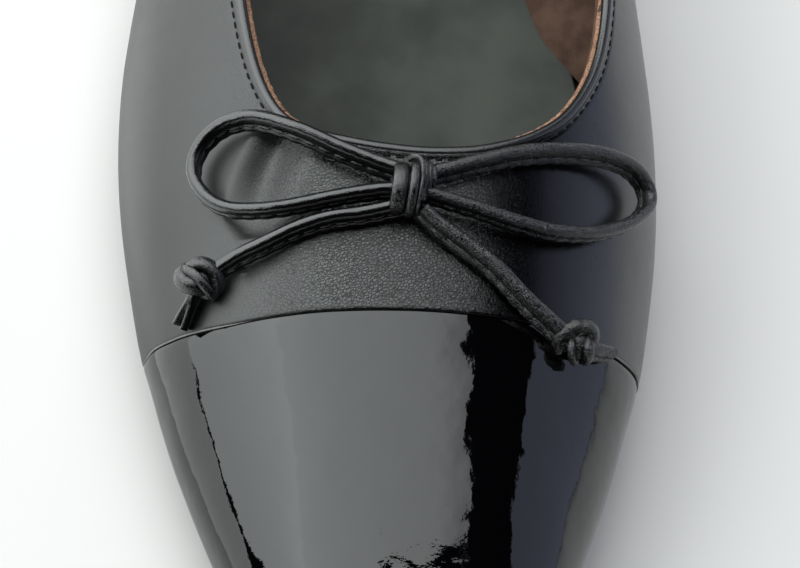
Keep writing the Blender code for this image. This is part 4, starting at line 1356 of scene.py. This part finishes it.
def areaLight(name, centre, rightWay, upWay, wide, high, radiance, colour, fade=None):
    data = bpy.data.lights.new(name, "AREA")
    data.shape = "RECTANGLE"
    data.size = wide
    data.size_y = high
    data.energy = radiance * math.pi * wide * high
    data.color = colour
    if fade:
        glow = Glow(data)
        axis, start, change, last = fade
        place = glow.node("ShaderNodeNewGeometry", output="Parametric")
        across = glow.node("ShaderNodeSeparateXYZ", None, {"Vector": place}, axis)
        glow.feed("Strength", start + across * change + glow.step(across, 0.82, 1.0) * last)
    made = addObject(name, data)
    right, up = Vector(rightWay), Vector(upWay)
    turn = Matrix((right, up, right.cross(up))).transposed()
    made.matrix_world = Matrix.Translation(centre) @ turn.to_4x4()
    made.visible_camera = False


def stagePanel(name, corners, colour, roughness, hidden):
    mesh = bpy.data.meshes.new(name)
    mesh.from_pydata(corners, [], [tuple(range(len(corners)))])
    material = bpy.data.materials.new(name)
    material.use_nodes = True
    shader = material.node_tree.nodes["Principled BSDF"]
    shader.inputs["Base Color"].default_value = (*colour, 1)
    shader.inputs["Roughness"].default_value = roughness
    shader.inputs["Specular IOR Level"].default_value = 0.0 if hidden else 0.2
    mesh.materials.append(material)
    panel = addObject(name, mesh)
    panel.visible_camera = not hidden


def makeWorld():
    world = bpy.data.worlds.new("studio")
    world.use_nodes = True
    background = world.node_tree.nodes["Background"]
    background.inputs["Color"].default_value = (*studio["worldColour"], 1)
    background.inputs["Strength"].default_value = studio["worldStrength"]
    bpy.context.scene.world = world


def makeLights():
    front, back, top, right, left = (studio[k] for k in ("front", "back", "topHigh", "topRight", "leftAway"))
    pale, middle, long = studio["softboxColour"], (front + back) / 2, back - front
    x, y, z = (1, 0, 0), (0, 1, 0), (0, 0, 1)
    centre = ((right - left) / 2, middle, top)
    areaLight("top_softbox", centre, x, y, right + left, long, studio["topRadiance"], pale, studio["topFade"])
    areaLight("right_panel", (1.3, 0.2, 0.62), y, z, 2.2, 1.22, 1.0, studio["rightPanel"])
    centre = (-left, middle - 0.3, top / 2)
    size = (long + 0.6, top)
    areaLight("left_softbox", centre, (0, -1, 0), z, *size, studio["leftRadiance"], pale, studio["leftFade"])
    near, far = studio["cardFrom"], left - 0.04
    card = (-(near + far) / 2, middle, 3 * mm)
    areaLight("floor_card", card, y, x, long, far - near, studio["cardRadiance"], pale)


def makePanels():
    far = studio["floorReach"]
    corners = [(-far, -far, 0), (far, -far, 0), (far, far, 0), (-far, far, 0)]
    stagePanel("floor", corners, studio["floorColour"], 0.9, False)
    front, back, top, right, left = (studio[k] for k in ("front", "back", "topHigh", "topRight", "leftAway"))
    out, end, ahead = studio["flagRight"], studio["flagEnd"], studio["ahead"]
    edge, low, under = right + 0.01, top - 0.12, top - 0.005
    near = 0.02 - left
    flags = {
        "over": [(edge, front, top), (edge, back, top), (out, back, low), (out, front, low)],
        "low": [
            (near, 0.10, 0.0), (near, -0.02, 0.02), (near, -0.09, 0.05),
            (near, -0.23, 0.29), (near, -1.3, 0.7), (near, -1.3, 0.0),
        ],
        "corner": [
            (-0.17, front, under), (0.0, -0.222, under), (0.36, -0.19, under),
            (right, -0.155, under), (right, front, under),
        ],
        "roof": [(-left, ahead, top), (end, ahead, top), (end, front, top), (-left, front, top)],
        "front": [(-left, ahead, 0.0), (end, ahead, 0.0), (end, ahead, top), (-left, ahead, top)],
    }
    for flag, corners in flags.items():
        stagePanel("black_flag_" + flag, corners, (0.0, 0.0, 0.0), 1.0, True)


makeWorld()
makeLights()
makePanels()
print("studio done")
